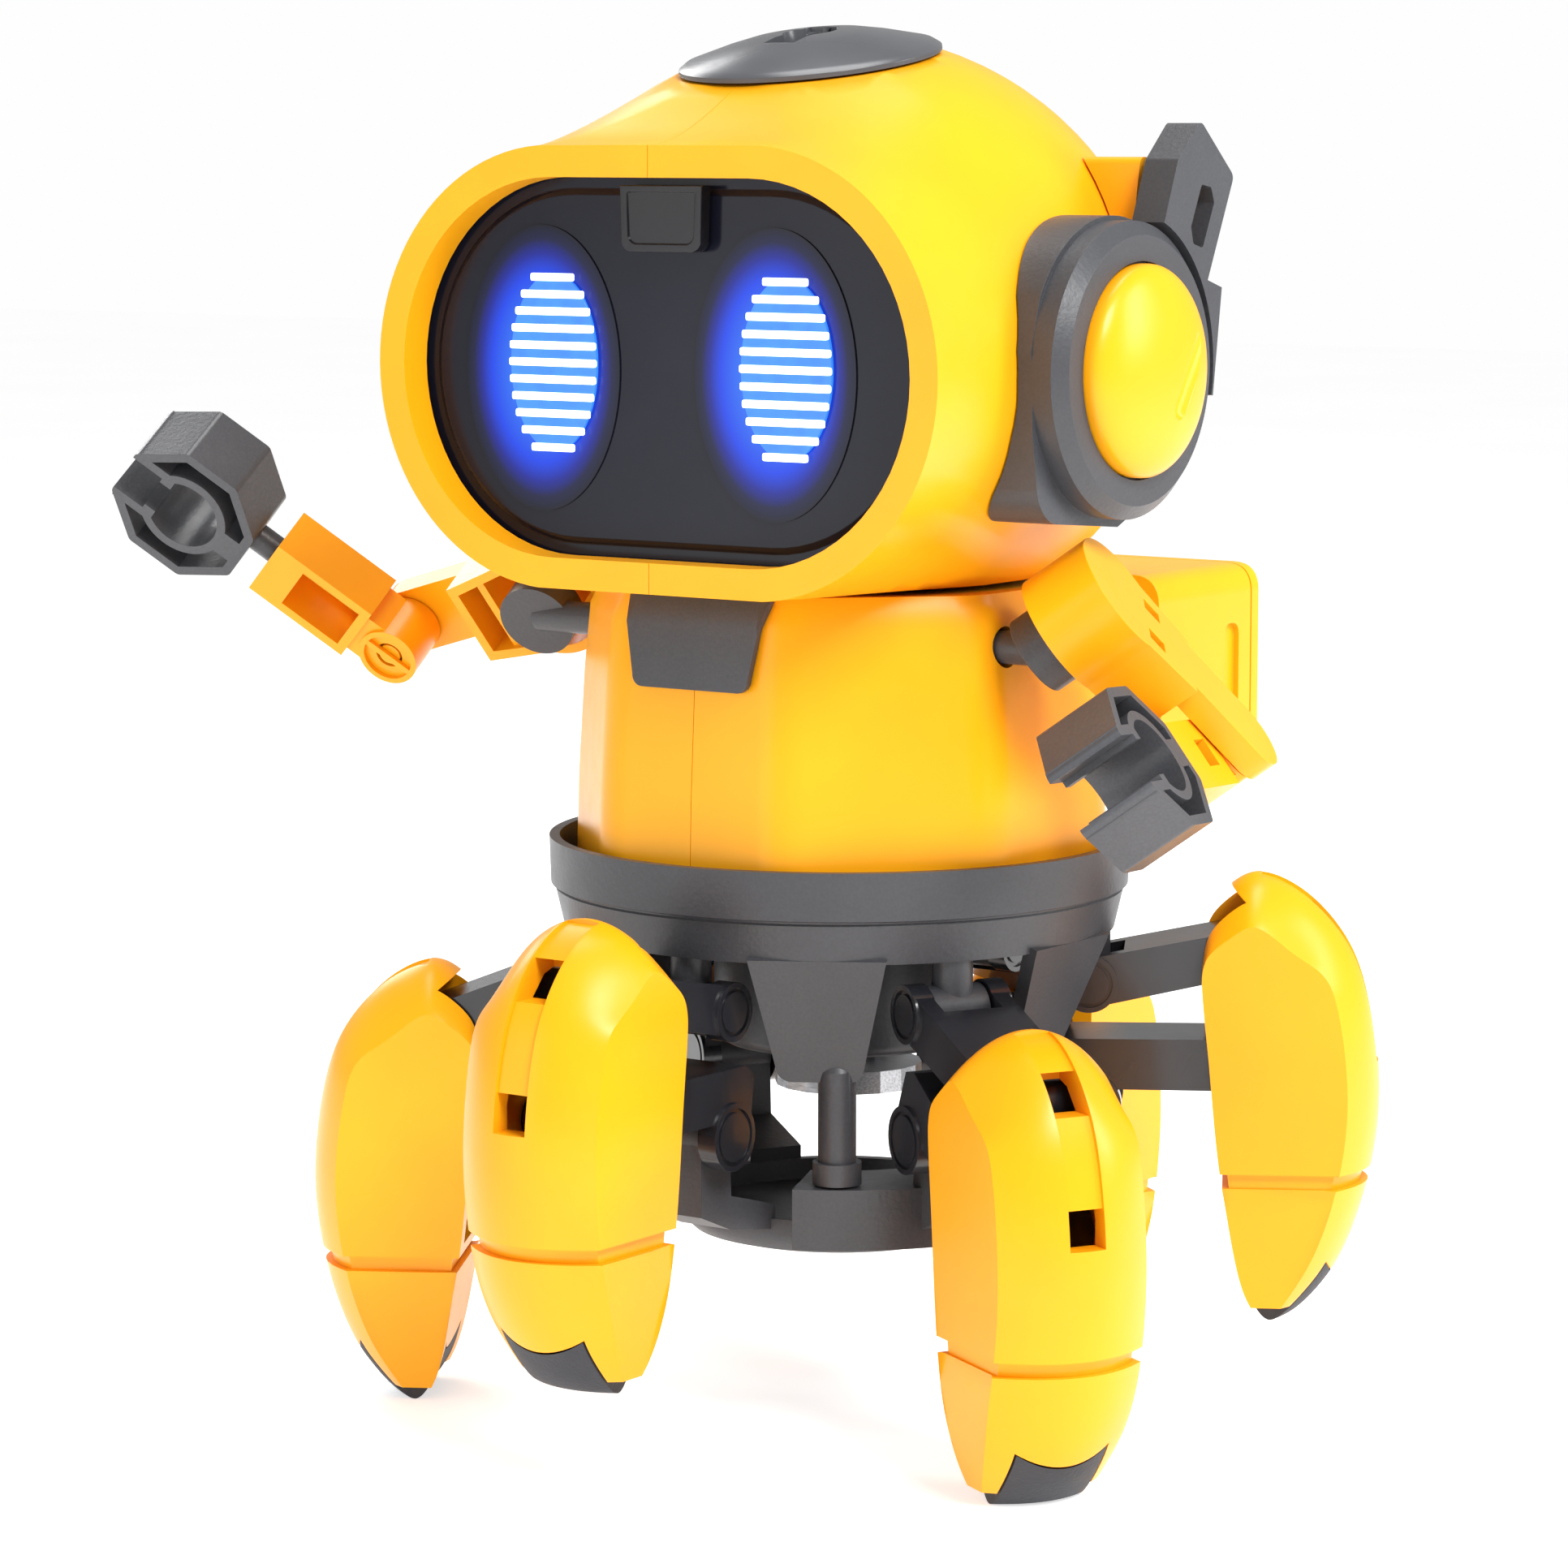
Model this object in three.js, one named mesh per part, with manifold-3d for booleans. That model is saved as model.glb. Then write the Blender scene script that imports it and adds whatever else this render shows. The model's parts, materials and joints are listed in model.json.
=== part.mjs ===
// Hexapod walking robot with a turning upper body, a helmet head and two claw arms.
// Units are millimetres, +Z is up, and the robot faces -Y, so that +X is its left side.
import * as THREE from 'three';
import { mergeVertices } from 'three/addons/utils/BufferGeometryUtils.js';
import Module from 'manifold-3d';

const wasm = await Module();
wasm.setup();

// ---------------------------------------------------------------- driving dimensions
const GAP = 0.3; // clearance between neighbouring pieces
const FAR = 200; // reach of a tool that cuts right through

// Legs: in a leg's own frame x is the distance from the turning axis, y runs sideways, z is up.
const LEG_WIDTH = 21;
const LEG_CROWN_Z = 60;
const LEG_CROWN_DROP = 6; // the crown is this much lower at its sides
const LEG_GROOVE_Z = 19.6;
const LEG_SLOT_HALF = 7.3;
const LEG_WINDOWS_Z = [53.3, 37.3];
const LEG_WINDOW = 5;
const FOOT_HALF = 6.4;
const FOOT_TOP_Z = 8;
const RAISED_ANGLE = 12; // slope of the links of a raised leg, degrees
const LOWERED_ANGLE = -20;
const LINK_LENGTH = 24.5;
const LINK_HALF = 7;
const LINK_SPACING = 16.5;
const HIP_RADIUS = 34; // distance of the chassis pivots from the turning axis
const HIP_Z = 59;
const KNEE_IN_LEG = { x: 58, z: HIP_Z + LINK_LENGTH * Math.sin((LOWERED_ANGLE * Math.PI) / 180) };
const PIN_RADIUS = 1.3;
const PIN_BORE = 1.8;
const LUG_HALF = 3.9;
const LEGS = [
  { name: 'front', azimuth: 0, raised: true },
  { name: 'left_front', azimuth: 60, raised: false },
  { name: 'left_rear', azimuth: 120, raised: true },
  { name: 'rear', azimuth: 180, raised: false },
  { name: 'right_rear', azimuth: 240, raised: true },
  { name: 'right_front', azimuth: 300, raised: false },
];

// Chassis
const RING_TOP_Z = 78.2;
const RING_BOTTOM_Z = 66;
const RING_RADIUS = 39.2;
const RING_FLOOR_Z = 72;
const RING_FLOOR_THICKNESS = 2;
const TAB_AZIMUTHS = [30, 90, 150, 210, 270, 330];
const POST_AZIMUTHS = [34, 154, 274];
const POST_RADIUS = 2.5;
const POST_REACH = 30;
const DISH_RADIUS = 22;
const DISH_BOTTOM_Z = 24;
const DISH_RIM_Z = 29.2;
const BLOCK_TOP_Z = 35.8;
const SPINDLE_RADIUS = 8;
const CASE_RADIUS = 17;
const CASE_BOTTOM_Z = 50;

// Torso: an eight-sided shell that narrows upwards
const TORSO_BOTTOM_Z = 74.6;
const TORSO_TOP_Z = 112.8;
const TORSO_APOTHEMS = [[74.6, 34.3], [86, 34], [100, 33.2], [109, 32.4], [112.8, 30.6]];
const TORSO_CORNER = 9;
const TORSO_WALL = 2;
const SHOULDER = { y: -9.5, z: 106 };
const STUD_INNER_X = 27; // how far in the shoulder studs reach
const SHOULDER_RADIUS = 8.6;

// Battery pack on the back
const PACK_HALF = 30;
const PACK_BOTTOM_Z = 82;
const PACK_TOP_Z = 112;
const PACK_REAR_Y = 58.2;
const PACK_WALL = 2;
const COVER_REAR_Y = 60.4;

// Head
const HEAD_Z = 142; // height of the widest line
const HEAD_RADIUS = 43.5;
const HEAD_BOTTOM_Z = 113.6;
const VISOR_Y = -43;
const VISOR_HALF_WIDTH = 44;
const VISOR_HALF_HEIGHT = 28.5;
const VISOR_RIM = 4.1;
const SCREEN_Y = -38;
const HEAD_WALL = 2.2;
const SWEEP_END_Y = -15; // where the sweep behind the visor meets the round of the head
const CAP_DISTANCE = 39.6; // from the head's centre to the plane that the cap lies on
const CAP_TILT = 10;
const CAP_RADIUS = 17.4;
const EAR = { y: -6, z: 142, radius: 19, face: 50.5, dome: 13.6 };
const EYE_SPACING = 36.8;
const EYE = { width: 14, height: 23, thickness: 0.8, z: 142.5 };

// Arms: in an arm's own frame x runs outwards, y along the arm, z across it.
const UPPER_ARM_LENGTH = 28;
const ARM_INNER = 3;
const ARM_OUTER = 13;
const ARM_WALL = 1.4;
const CHEEK_INNER = 9.3; // inner face of the upper arm's cheek beside the forearm
const FOREARM_LENGTH = 21.5;
const WRIST_X = 4.7;
const CLAW_RADIUS = 11;
const CLAW_CENTRE = 13.4; // from the wrist to the middle of the claw
const CLAW_DEPTH = 11;
const CLAW_WALL = 1.5;
const CLAW_MOUTH = 6.8;
// Angles in degrees: splay and swing place the upper arm, roll turns it about its own length, and
// the forearm's angle is measured from the upper arm.
const ARMS = [
  { name: 'right', side: -1, shoulderX: 43.5, splay: 92, swingAngle: -16, roll: 149, forearmAngle: -62 },
  { name: 'left', side: 1, shoulderX: 38.5, splay: -25, swingAngle: -43, roll: -53, forearmAngle: -128 },
];

// ---------------------------------------------------------------- materials
const plastic = (color, roughness) => new THREE.MeshStandardMaterial({ color, roughness, metalness: 0 });
const yellow = plastic(0xffb515, 0.3);
const darkGrey = plastic(0x45464a, 0.42);
const rubber = plastic(0x2b2c2f, 0.8);
const blackGloss = plastic(0x0b0d14, 0.08);
const eyeBlue = new THREE.MeshStandardMaterial({ color: 0x2b9bff, emissive: 0x2b9bff, roughness: 0.4 });
const green = plastic(0x1d6b3c, 0.5);
const steel = new THREE.MeshStandardMaterial({ color: 0xb4b7bb, roughness: 0.3, metalness: 1 });

// ---------------------------------------------------------------- solids
const radians = THREE.MathUtils.degToRad;
const smooth = (t) => THREE.MathUtils.smoothstep(t, 0, 1);

/** Turns a closed three.js geometry into a solid that can be joined and cut. */
function solid(geometry) {
  const bare = geometry.clone();
  bare.deleteAttribute('normal');
  bare.deleteAttribute('uv');
  const merged = mergeVertices(bare, 1e-4);
  const vertProperties = new Float32Array(merged.attributes.position.array);
  const triVerts = new Uint32Array(merged.index.array);
  const body = new wasm.Manifold(new wasm.Mesh({ numProp: 3, vertProperties, triVerts }));
  if (body.volume() <= 0) throw new Error('a solid is inside out');
  return body;
}

/** Names a finished solid and gives it its material. */
function piece(name, body, material) {
  const { vertProperties, triVerts, numProp } = body.getMesh();
  const geometry = new THREE.BufferGeometry();
  if (numProp !== 3) throw new Error(`${name} has extra vertex data`);
  geometry.setAttribute('position', new THREE.BufferAttribute(new Float32Array(vertProperties), 3));
  geometry.setIndex([...triVerts]);
  geometry.computeVertexNormals();
  const mesh = new THREE.Mesh(geometry, material);
  mesh.name = name;
  return mesh;
}

/** Limits along x of a piece that lies between `inner` and `outer` on one side of the robot. */
const outwards = (side, inner, outer) => (side > 0 ? [inner, outer] : [-outer, -inner]);

const union = (bodies) => bodies.reduce((sum, body) => sum.add(body));

/** A box given by its two limits along each axis. */
function box(x, y, z) {
  const geometry = new THREE.BoxGeometry(x[1] - x[0], y[1] - y[0], z[1] - z[0]);
  geometry.translate((x[0] + x[1]) / 2, (y[0] + y[1]) / 2, (z[0] + z[1]) / 2);
  return solid(geometry);
}

/** A cylinder or cone along 'x', 'y' or 'z' between two limits, through the point `at`. */
function rodGeometry(axis, radius, limits, at = [0, 0, 0], sides = 14, endRadius = radius) {
  const geometry = new THREE.CylinderGeometry(endRadius, radius, limits[1] - limits[0], sides);
  geometry.translate(0, (limits[0] + limits[1]) / 2, 0);
  if (axis === 'x') geometry.rotateZ(-Math.PI / 2);
  if (axis === 'z') geometry.rotateX(Math.PI / 2);
  return geometry.translate(...at);
}

const rod = (...sizes) => solid(rodGeometry(...sizes));

const PLANE_TURNS = {
  xy: new THREE.Matrix4(),
  xz: new THREE.Matrix4().makeRotationX(Math.PI / 2),
  yz: new THREE.Matrix4().makeBasis(
    new THREE.Vector3(0, 1, 0), new THREE.Vector3(0, 0, 1), new THREE.Vector3(1, 0, 0)),
};

/** Extrudes an outline drawn in the 'xy', 'xz' or 'yz' plane between two limits of the third axis. */
function slabGeometry(plane, points, limits) {
  const shape = new THREE.Shape(points.map(([u, v]) => new THREE.Vector2(u, v)));
  const geometry = new THREE.ExtrudeGeometry(shape, { depth: limits[1] - limits[0], bevelEnabled: false });
  geometry.translate(0, 0, plane === 'xz' ? -limits[1] : limits[0]);
  geometry.applyMatrix4(PLANE_TURNS[plane]);
  return geometry;
}

const slab = (plane, points, limits) => solid(slabGeometry(plane, points, limits));

/** Revolves a closed [radius, z] profile about the vertical axis. */
function revolve(profile, sides) {
  const points = profile.map(([radius, z]) => new THREE.Vector2(radius, z));
  const geometry = new THREE.LatheGeometry(points, sides);
  geometry.rotateX(Math.PI / 2);
  return solid(geometry);
}

/** Joins equal rings of points, in order, into one closed skin with a fan at each end. */
function loft(rings) {
  const count = rings[0].length;
  const positions = rings.flat(2);
  const index = [];
  const middleOf = (ring) => [0, 1, 2].map((k) => ring.reduce((sum, p) => sum + p[k], 0) / count);
  positions.push(...middleOf(rings[0]), ...middleOf(rings[rings.length - 1]));
  const firstMiddle = rings.length * count;
  for (let ring = 0; ring + 1 < rings.length; ring += 1) {
    for (let k = 0; k < count; k += 1) {
      const a = ring * count + k;
      const b = ring * count + ((k + 1) % count);
      index.push(a, b, b + count, a, b + count, a + count);
    }
  }
  for (let k = 0; k < count; k += 1) {
    const next = (k + 1) % count;
    const last = (rings.length - 1) * count;
    index.push(firstMiddle, next, k, firstMiddle + 1, last + k, last + next);
  }
  const geometry = new THREE.BufferGeometry();
  geometry.setAttribute('position', new THREE.BufferAttribute(new Float32Array(positions), 3));
  geometry.setIndex(index);
  return solid(geometry);
}

/** Points on an arc, angles in degrees. */
function arc(cx, cy, radius, from, to, steps) {
  const at = (k) => radians(from + ((to - from) * k) / steps);
  return Array.from({ length: steps + 1 }, (_, k) => [
    cx + radius * Math.cos(at(k)), cy + radius * Math.sin(at(k))]);
}

/** A closed smooth curve through a few points. */
function smoothOutline(points, count) {
  const knots = points.map(([u, v]) => new THREE.Vector3(u, v, 0));
  const curve = new THREE.CatmullRomCurve3(knots, true, 'centripetal');
  return curve.getPoints(count).slice(0, count).map((p) => [p.x, p.y]);
}

/** A rectangle with round corners. */
function roundedRectangle(u, v, radius, steps = 3) {
  return [
    ...arc(u[1] - radius, v[0] + radius, radius, -90, 0, steps),
    ...arc(u[1] - radius, v[1] - radius, radius, 0, 90, steps),
    ...arc(u[0] + radius, v[1] - radius, radius, 90, 180, steps),
    ...arc(u[0] + radius, v[0] + radius, radius, 180, 270, steps),
  ];
}

/** Turns a solid's source geometry about the vertical axis so that x points along an azimuth. */
const azimuthTurn = (azimuth) => radians(azimuth - 90);

// ---------------------------------------------------------------- legs
const LEG_SIDE = [
  [49.2, 49], [50.2, 35.6], [52.3, 17.6], [56.2, 3.4], [60.5, 0], [66.6, 5.4], [71.4, 17.2],
  [73.1, 32], [69.6, 49.4], [62.6, 57.8], [56, 60], [50.8, 56],
];
const LEG_SIDE_STEPS = 2 * LEG_SIDE.length;
const LEG_CAVITY = [[45, 62], [51, 60], [57, 55.2], [62, 53.5], [66, 49], [69.8, 38], [69.5, 22], [45, 22]];

function legFrontOutline() {
  const half = LEG_WIDTH / 2;
  const crown = [];
  for (let k = 0; k <= 6; k += 1) {
    const y = half - (LEG_WIDTH * k) / 6;
    crown.push([y, LEG_CROWN_Z - LEG_CROWN_DROP * (y / half) ** 2]);
  }
  const lower = [[6.5, -1], [8.2, 2], [9.6, 8.5], [half, 17]];
  const mirrored = lower.map(([y, z]) => [-y, z]).reverse();
  return [...lower, ...crown, ...mirrored];
}

/** The whole outer form of a leg, with its flat sides and domed crown. */
function legForm() {
  const half = LEG_WIDTH / 2;
  const side = slab('xz', smoothOutline(LEG_SIDE, LEG_SIDE_STEPS), [-half, half]);
  return side.intersect(slab('yz', legFrontOutline(), [40, 80]));
}

/** The front edge of the shell above the foot: lowest in the middle. */
function footOutline(half, raise) {
  const edge = [];
  for (let k = 0; k <= 4; k += 1) {
    const y = half - (2 * half * k) / 4;
    edge.push([y, FOOT_TOP_Z + raise - 2.2 * (1 - (y / half) ** 2)]);
  }
  return [[-half, -2], [half, -2], ...edge];
}

function legGroove() {
  const slabLimits = [LEG_GROOVE_Z - 1, LEG_GROOVE_Z + 1];
  const around = box([40, 80], [-12, 12], slabLimits);
  return around.subtract(box([53.2, 70.8], [-9.5, 9.5], [slabLimits[0] - 1, slabLimits[1] + 1]));
}

/** The shallow strip that runs down the crown through both windows. */
function legStrip() {
  const outline = smoothOutline(LEG_SIDE, LEG_SIDE_STEPS);
  const lowerEnd = LEG_WINDOWS_Z[1] - LEG_WINDOW / 2;
  const outside = box([57, 80], [-LEG_WINDOW / 2, LEG_WINDOW / 2], [lowerEnd, 70]);
  return outside.subtract(slab('xz', outline.map(([x, z]) => [x - 0.6, z - 0.6]), [-4, 4]));
}

function legShell(form) {
  let shell = form.subtract(slab('xz', LEG_CAVITY, [-LEG_SLOT_HALF, LEG_SLOT_HALF]));
  shell = shell.subtract(legGroove()).subtract(legStrip());
  for (const z of LEG_WINDOWS_Z) {
    const half = LEG_WINDOW / 2;
    shell = shell.subtract(box([60, 80], [-half, half], [z - half, z + half]));
  }
  for (const drop of [0, LINK_SPACING]) {
    const at = [KNEE_IN_LEG.x, 0, KNEE_IN_LEG.z - drop];
    shell = shell.subtract(rod('y', PIN_BORE, [-9.3, 9.3], at, 8));
  }
  shell = shell.subtract(slab('yz', footOutline(FOOT_HALF + GAP, GAP), [40, 80]));
  return shell.subtract(box([40, 80], [-12, 12], [-2, 2]));
}

const legFoot = (form) => form.intersect(slab('yz', footOutline(FOOT_HALF, 0), [40, 80]));

/** A link in its own frame: the chassis pivot at the origin and the leg pivot along +x. */
function link(outline, hubRadius, slotTop) {
  const knee = [LINK_LENGTH, 0, 0];
  const body = union([
    slab('xz', outline, [-LINK_HALF + 0.4, LINK_HALF - 0.4]),
    rod('y', hubRadius, [-LINK_HALF, LINK_HALF], [0, 0, 0], 12),
    rod('y', 3.2, [-LINK_HALF, LINK_HALF], knee, 8),
  ]);
  const slot = box([-8, 5.4], [-LUG_HALF - GAP, LUG_HALF + GAP], [-10, slotTop]);
  return union([
    body.subtract(slot),
    rod('y', PIN_RADIUS, [-LUG_HALF - 1, LUG_HALF + 1], [0, 0, 0], 6),
    rod('y', PIN_RADIUS, [-8.9, 8.9], knee, 6),
  ]);
}

const UPPER_LINK = [[0, -3.3], [LINK_LENGTH, -3], [LINK_LENGTH, 3], [0, 3.3]];
const LOWER_LINK = [
  [-3.8, 0], [-2.8, -3.4], [3.2, -3.2], [4.4, 1.3], [16.1, -1.2], [LINK_LENGTH, -3.2],
  [LINK_LENGTH, 3.2], [17.5, 5.6], [-1, 9.4], [-3.2, 8.4],
];

function makeLegs() {
  const group = new THREE.Group();
  const form = legForm();
  const shell = legShell(form);
  const foot = legFoot(form);
  const upperLink = link(UPPER_LINK, 3.9, 10);
  const lowerLink = link(LOWER_LINK, 4.5, 4.7);
  for (const { name, azimuth, raised } of LEGS) {
    const angle = radians(raised ? RAISED_ANGLE : LOWERED_ANGLE);
    const leg = new THREE.Group();
    leg.rotation.z = azimuthTurn(azimuth);
    const kneeX = HIP_RADIUS + LINK_LENGTH * Math.cos(angle);
    const kneeZ = HIP_Z + LINK_LENGTH * Math.sin(angle);
    const upright = new THREE.Group();
    upright.position.set(kneeX - KNEE_IN_LEG.x, 0, kneeZ - KNEE_IN_LEG.z);
    upright.add(piece(`${name}_leg_shell`, shell, yellow), piece(`${name}_foot_pad`, foot, rubber));
    const upper = piece(`${name}_upper_link`, upperLink, darkGrey);
    upper.position.set(HIP_RADIUS, 0, HIP_Z);
    upper.rotation.y = -angle;
    const lower = piece(`${name}_lower_link`, lowerLink, darkGrey);
    lower.position.set(HIP_RADIUS, 0, HIP_Z - LINK_SPACING);
    lower.rotation.y = -angle;
    leg.add(upright, upper, lower);
    group.add(leg);
  }
  return group;
}

// ---------------------------------------------------------------- chassis
/** Copies a geometry built along +x to each azimuth and joins the copies. */
function around(azimuths, makeGeometry) {
  return union(azimuths.map((azimuth) => solid(makeGeometry().rotateZ(azimuthTurn(azimuth)))));
}

function tabGeometry() {
  const outline = [[-9, 18], ...arc(-3.7, 2, 2, 190, 270, 2), ...arc(3.7, 2, 2, 270, 350, 2), [9, 18]];
  const geometry = slabGeometry('yz', outline, [-2, 0]);
  geometry.rotateY(radians(20));
  geometry.translate(31.2, 0, 49.6);
  return geometry;
}

const legAzimuths = LEGS.map((leg) => leg.azimuth);

function legFrame() {
  const floorBottom = RING_FLOOR_Z - RING_FLOOR_THICKNESS;
  const bore = SPINDLE_RADIUS + 2 * GAP;
  const ring = revolve([
    [bore, floorBottom], [34.4, floorBottom], [35.2, RING_BOTTOM_Z], [37.2, RING_BOTTOM_Z],
    [38.4, 71.2], [39, 71.8], [RING_RADIUS, RING_TOP_Z], [37.8, RING_TOP_Z],
    [37.4, RING_FLOOR_Z], [bore, RING_FLOOR_Z], [bore, floorBottom]], 32);
  const tabs = around(TAB_AZIMUTHS, tabGeometry);
  const bosses = around(legAzimuths, () => (
    rodGeometry('z', 2.7, [HIP_Z, floorBottom + 1], [HIP_RADIUS, 0, 0], 8)));
  const barrels = around(legAzimuths, () => (
    rodGeometry('y', 3.5, [-LUG_HALF, LUG_HALF], [HIP_RADIUS, 0, HIP_Z], 10)));
  const posts = around(POST_AZIMUTHS, () => (
    rodGeometry('z', POST_RADIUS, [BLOCK_TOP_Z + GAP, 53], [POST_REACH, 0, 0], 10)));
  const bores = around(legAzimuths, () => (
    rodGeometry('y', PIN_BORE, [-6, 6], [HIP_RADIUS, 0, HIP_Z], 8)));
  return union([ring, tabs, bosses, barrels, posts]).subtract(bores);
}

/** The block between a post and the next leg: part of a ring, from the post to the leg's lug. */
function blockGeometry() {
  const outline = [...arc(0, 0, 33.4, -10, 34, 6), ...arc(0, 0, 20.6, 34, -10, 5)];
  return slabGeometry('xy', outline, [DISH_RIM_Z - 1.4, BLOCK_TOP_Z]);
}

function baseDish() {
  const dish = revolve([
    [0, DISH_BOTTOM_Z], [17.5, DISH_BOTTOM_Z], [21.4, 26.2], [DISH_RADIUS, 27],
    [DISH_RADIUS, DISH_RIM_Z], [DISH_RADIUS - 1.6, DISH_RIM_Z], [20, 26.4], [0, 26.4]], 28);
  const lowerHipZ = HIP_Z - LINK_SPACING;
  const arms = around(legAzimuths, () => (
    slabGeometry('xz', [[20.6, 27.6], [31, 29.4], [37.3, 32], [37.3, lowerHipZ], [31, lowerHipZ],
      [30.6, BLOCK_TOP_Z - 2], [20.6, 31]], [-LUG_HALF, LUG_HALF])));
  const barrels = around(legAzimuths, () => (
    rodGeometry('y', 3.5, [-LUG_HALF, LUG_HALF], [HIP_RADIUS, 0, lowerHipZ], 10)));
  const blocks = around(POST_AZIMUTHS, blockGeometry);
  const bores = around(legAzimuths, () => (
    rodGeometry('y', PIN_BORE, [-6, 6], [HIP_RADIUS, 0, lowerHipZ], 8)));
  return union([dish, arms, barrels, blocks]).subtract(bores);
}

function gearCase() {
  const wall = 1.8;
  return revolve([
    [3, CASE_BOTTOM_Z], [CASE_RADIUS - 1.5, CASE_BOTTOM_Z], [CASE_RADIUS, CASE_BOTTOM_Z + 1.5],
    [CASE_RADIUS, 69.7], [CASE_RADIUS - wall, 69.7], [CASE_RADIUS - wall, CASE_BOTTOM_Z + wall],
    [3, CASE_BOTTOM_Z + wall], [3, CASE_BOTTOM_Z]], 18);
}

function gear(teeth, radius, toothHeight, bore, z) {
  const outline = [];
  for (let k = 0; k < teeth * 2; k += 1) {
    const r = k % 2 === 0 ? radius : radius - toothHeight;
    const pitch = 180 / teeth;
    outline.push(...arc(0, 0, r, (k - 0.3) * pitch, (k + 0.3) * pitch, 1));
  }
  return slab('xy', outline, z).subtract(rod('z', bore, [-FAR, FAR], [0, 0, 0], 16));
}

function crankShaft() {
  const cam = rod('z', 10, [43.6, 46.6], [0, 2.2, 0], 18);
  const crankPin = rod('z', 1.6, [46, 49], [0, 8.6, 0], 10);
  return union([rod('z', 2.2, [26.8, 57.3], [0, 0, 0], 12), cam, crankPin]);
}

/** A small can motor with flats on two sides. */
function motor(y, z) {
  const can = rod('x', 5.8, [-7, 6], [0, y, z], 14);
  const nose = rod('x', 2.2, [5, 9], [0, y, z], 8);
  return can.add(nose).intersect(box([-10, 10], [y - 10, y + 10], [z - 4.6, z + 4.6]));
}

function makeChassis() {
  const group = new THREE.Group();
  group.add(
    piece('leg_frame', legFrame(), darkGrey),
    piece('base_dish', baseDish(), darkGrey),
    piece('walk_gear_case', gearCase(), darkGrey),
    piece('walk_crank_shaft', crankShaft(), steel),
    piece('walk_drive_gear', gear(12, 8.2, 1.6, 2.6, [54, 57]), plastic(0xe9e6dc, 0.5)),
    piece('walk_motor', motor(7, 62.6), steel));
  return group;
}

// ---------------------------------------------------------------- torso and battery pack
/** One level of the torso: an octagon with a flat at the front and round corners. */
function torsoRing(apothem, z) {
  const ring = [];
  for (let side = 0; side < 8; side += 1) {
    const corner = side * 45 + 22.5;
    const reach = (apothem - TORSO_CORNER) / Math.cos(radians(22.5));
    const centre = [reach * Math.cos(radians(corner)), reach * Math.sin(radians(corner))];
    for (const [x, y] of arc(...centre, TORSO_CORNER, corner - 22.5, corner + 22.5, 2)) {
      ring.push([x, y, z]);
    }
  }
  return ring;
}

function torsoForm(offset, bottom = TORSO_BOTTOM_Z, top = TORSO_TOP_Z) {
  const levels = TORSO_APOTHEMS.map(([z, apothem]) => [z, apothem + offset]);
  levels[0][0] = bottom;
  levels[levels.length - 1][0] = top;
  return loft(levels.map(([z, apothem]) => torsoRing(apothem, z)));
}

function torsoShell() {
  const inside = torsoForm(-TORSO_WALL, TORSO_BOTTOM_Z - 1, TORSO_TOP_Z - TORSO_WALL);
  let shell = torsoForm(0).subtract(inside);
  shell = shell.subtract(rod('z', 10, [100, 120], [0, 0, 0], 16));
  shell = shell.subtract(rod('x', 2.7, [-FAR, FAR], [0, SHOULDER.y, SHOULDER.z], 12));
  const slitZ = TORSO_BOTTOM_Z + 1.4;
  return shell.subtract(box([3, 15], [-40, -28], [slitZ - 1, slitZ]));
}

function leftHalf(body) {
  return body.intersect(box([GAP / 2, FAR], [-FAR, FAR], [-FAR, 2 * FAR]));
}

function rightHalf(body) {
  return body.intersect(box([-FAR, -GAP / 2], [-FAR, FAR], [-FAR, 2 * FAR]));
}

function chestPlate() {
  const outline = [...arc(-7.6, 102.2, 1.6, 180, 270, 3), ...arc(7.6, 102.2, 1.6, 270, 360, 3),
    [11.2, 112.4], [-11.2, 112.4]];
  const prism = slab('xz', outline, [-50, -20]);
  return prism.intersect(torsoForm(1.4)).subtract(torsoForm(GAP));
}

const PACK_OUTLINE = [
  [34.6, PACK_BOTTOM_Z], [PACK_REAR_Y, PACK_BOTTOM_Z], [PACK_REAR_Y, PACK_TOP_Z], [33, PACK_TOP_Z]];

const packSection = (inset) => roundedRectangle(
  [-PACK_HALF + inset, PACK_HALF - inset], [PACK_BOTTOM_Z + inset, PACK_TOP_Z - inset], 4 - inset);

function batteryBox() {
  const outside = slab('yz', PACK_OUTLINE, [-PACK_HALF, PACK_HALF]);
  const form = outside.intersect(slab('xz', packSection(0), [20, 80]));
  const bay = slab('xz', packSection(PACK_WALL), [36.6, 80]);
  const switchWell = box([-5.2, 5.2], [44, 48], [PACK_TOP_Z - 1.3, PACK_TOP_Z + 1]);
  return form.subtract(bay).subtract(switchWell);
}

function batteryCover() {
  const plate = slab('xz', packSection(0), [PACK_REAR_Y + GAP, COVER_REAR_Y]);
  const lip = slab('xz', packSection(PACK_WALL + GAP), [PACK_REAR_Y - 2, PACK_REAR_Y + 1]);
  const core = slab('xz', packSection(PACK_WALL + 1.8), [PACK_REAR_Y - 3, PACK_REAR_Y + GAP]);
  return plate.add(lip).subtract(core);
}

function waistSpindle() {
  const flangeZ = RING_FLOOR_Z + GAP;
  return revolve([
    [0, 68.8], [SPINDLE_RADIUS, 68.8], [SPINDLE_RADIUS, flangeZ], [20, flangeZ], [20, 74.4],
    [5, 74.4], [5, 77], [0, 77]], 20);
}

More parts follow.
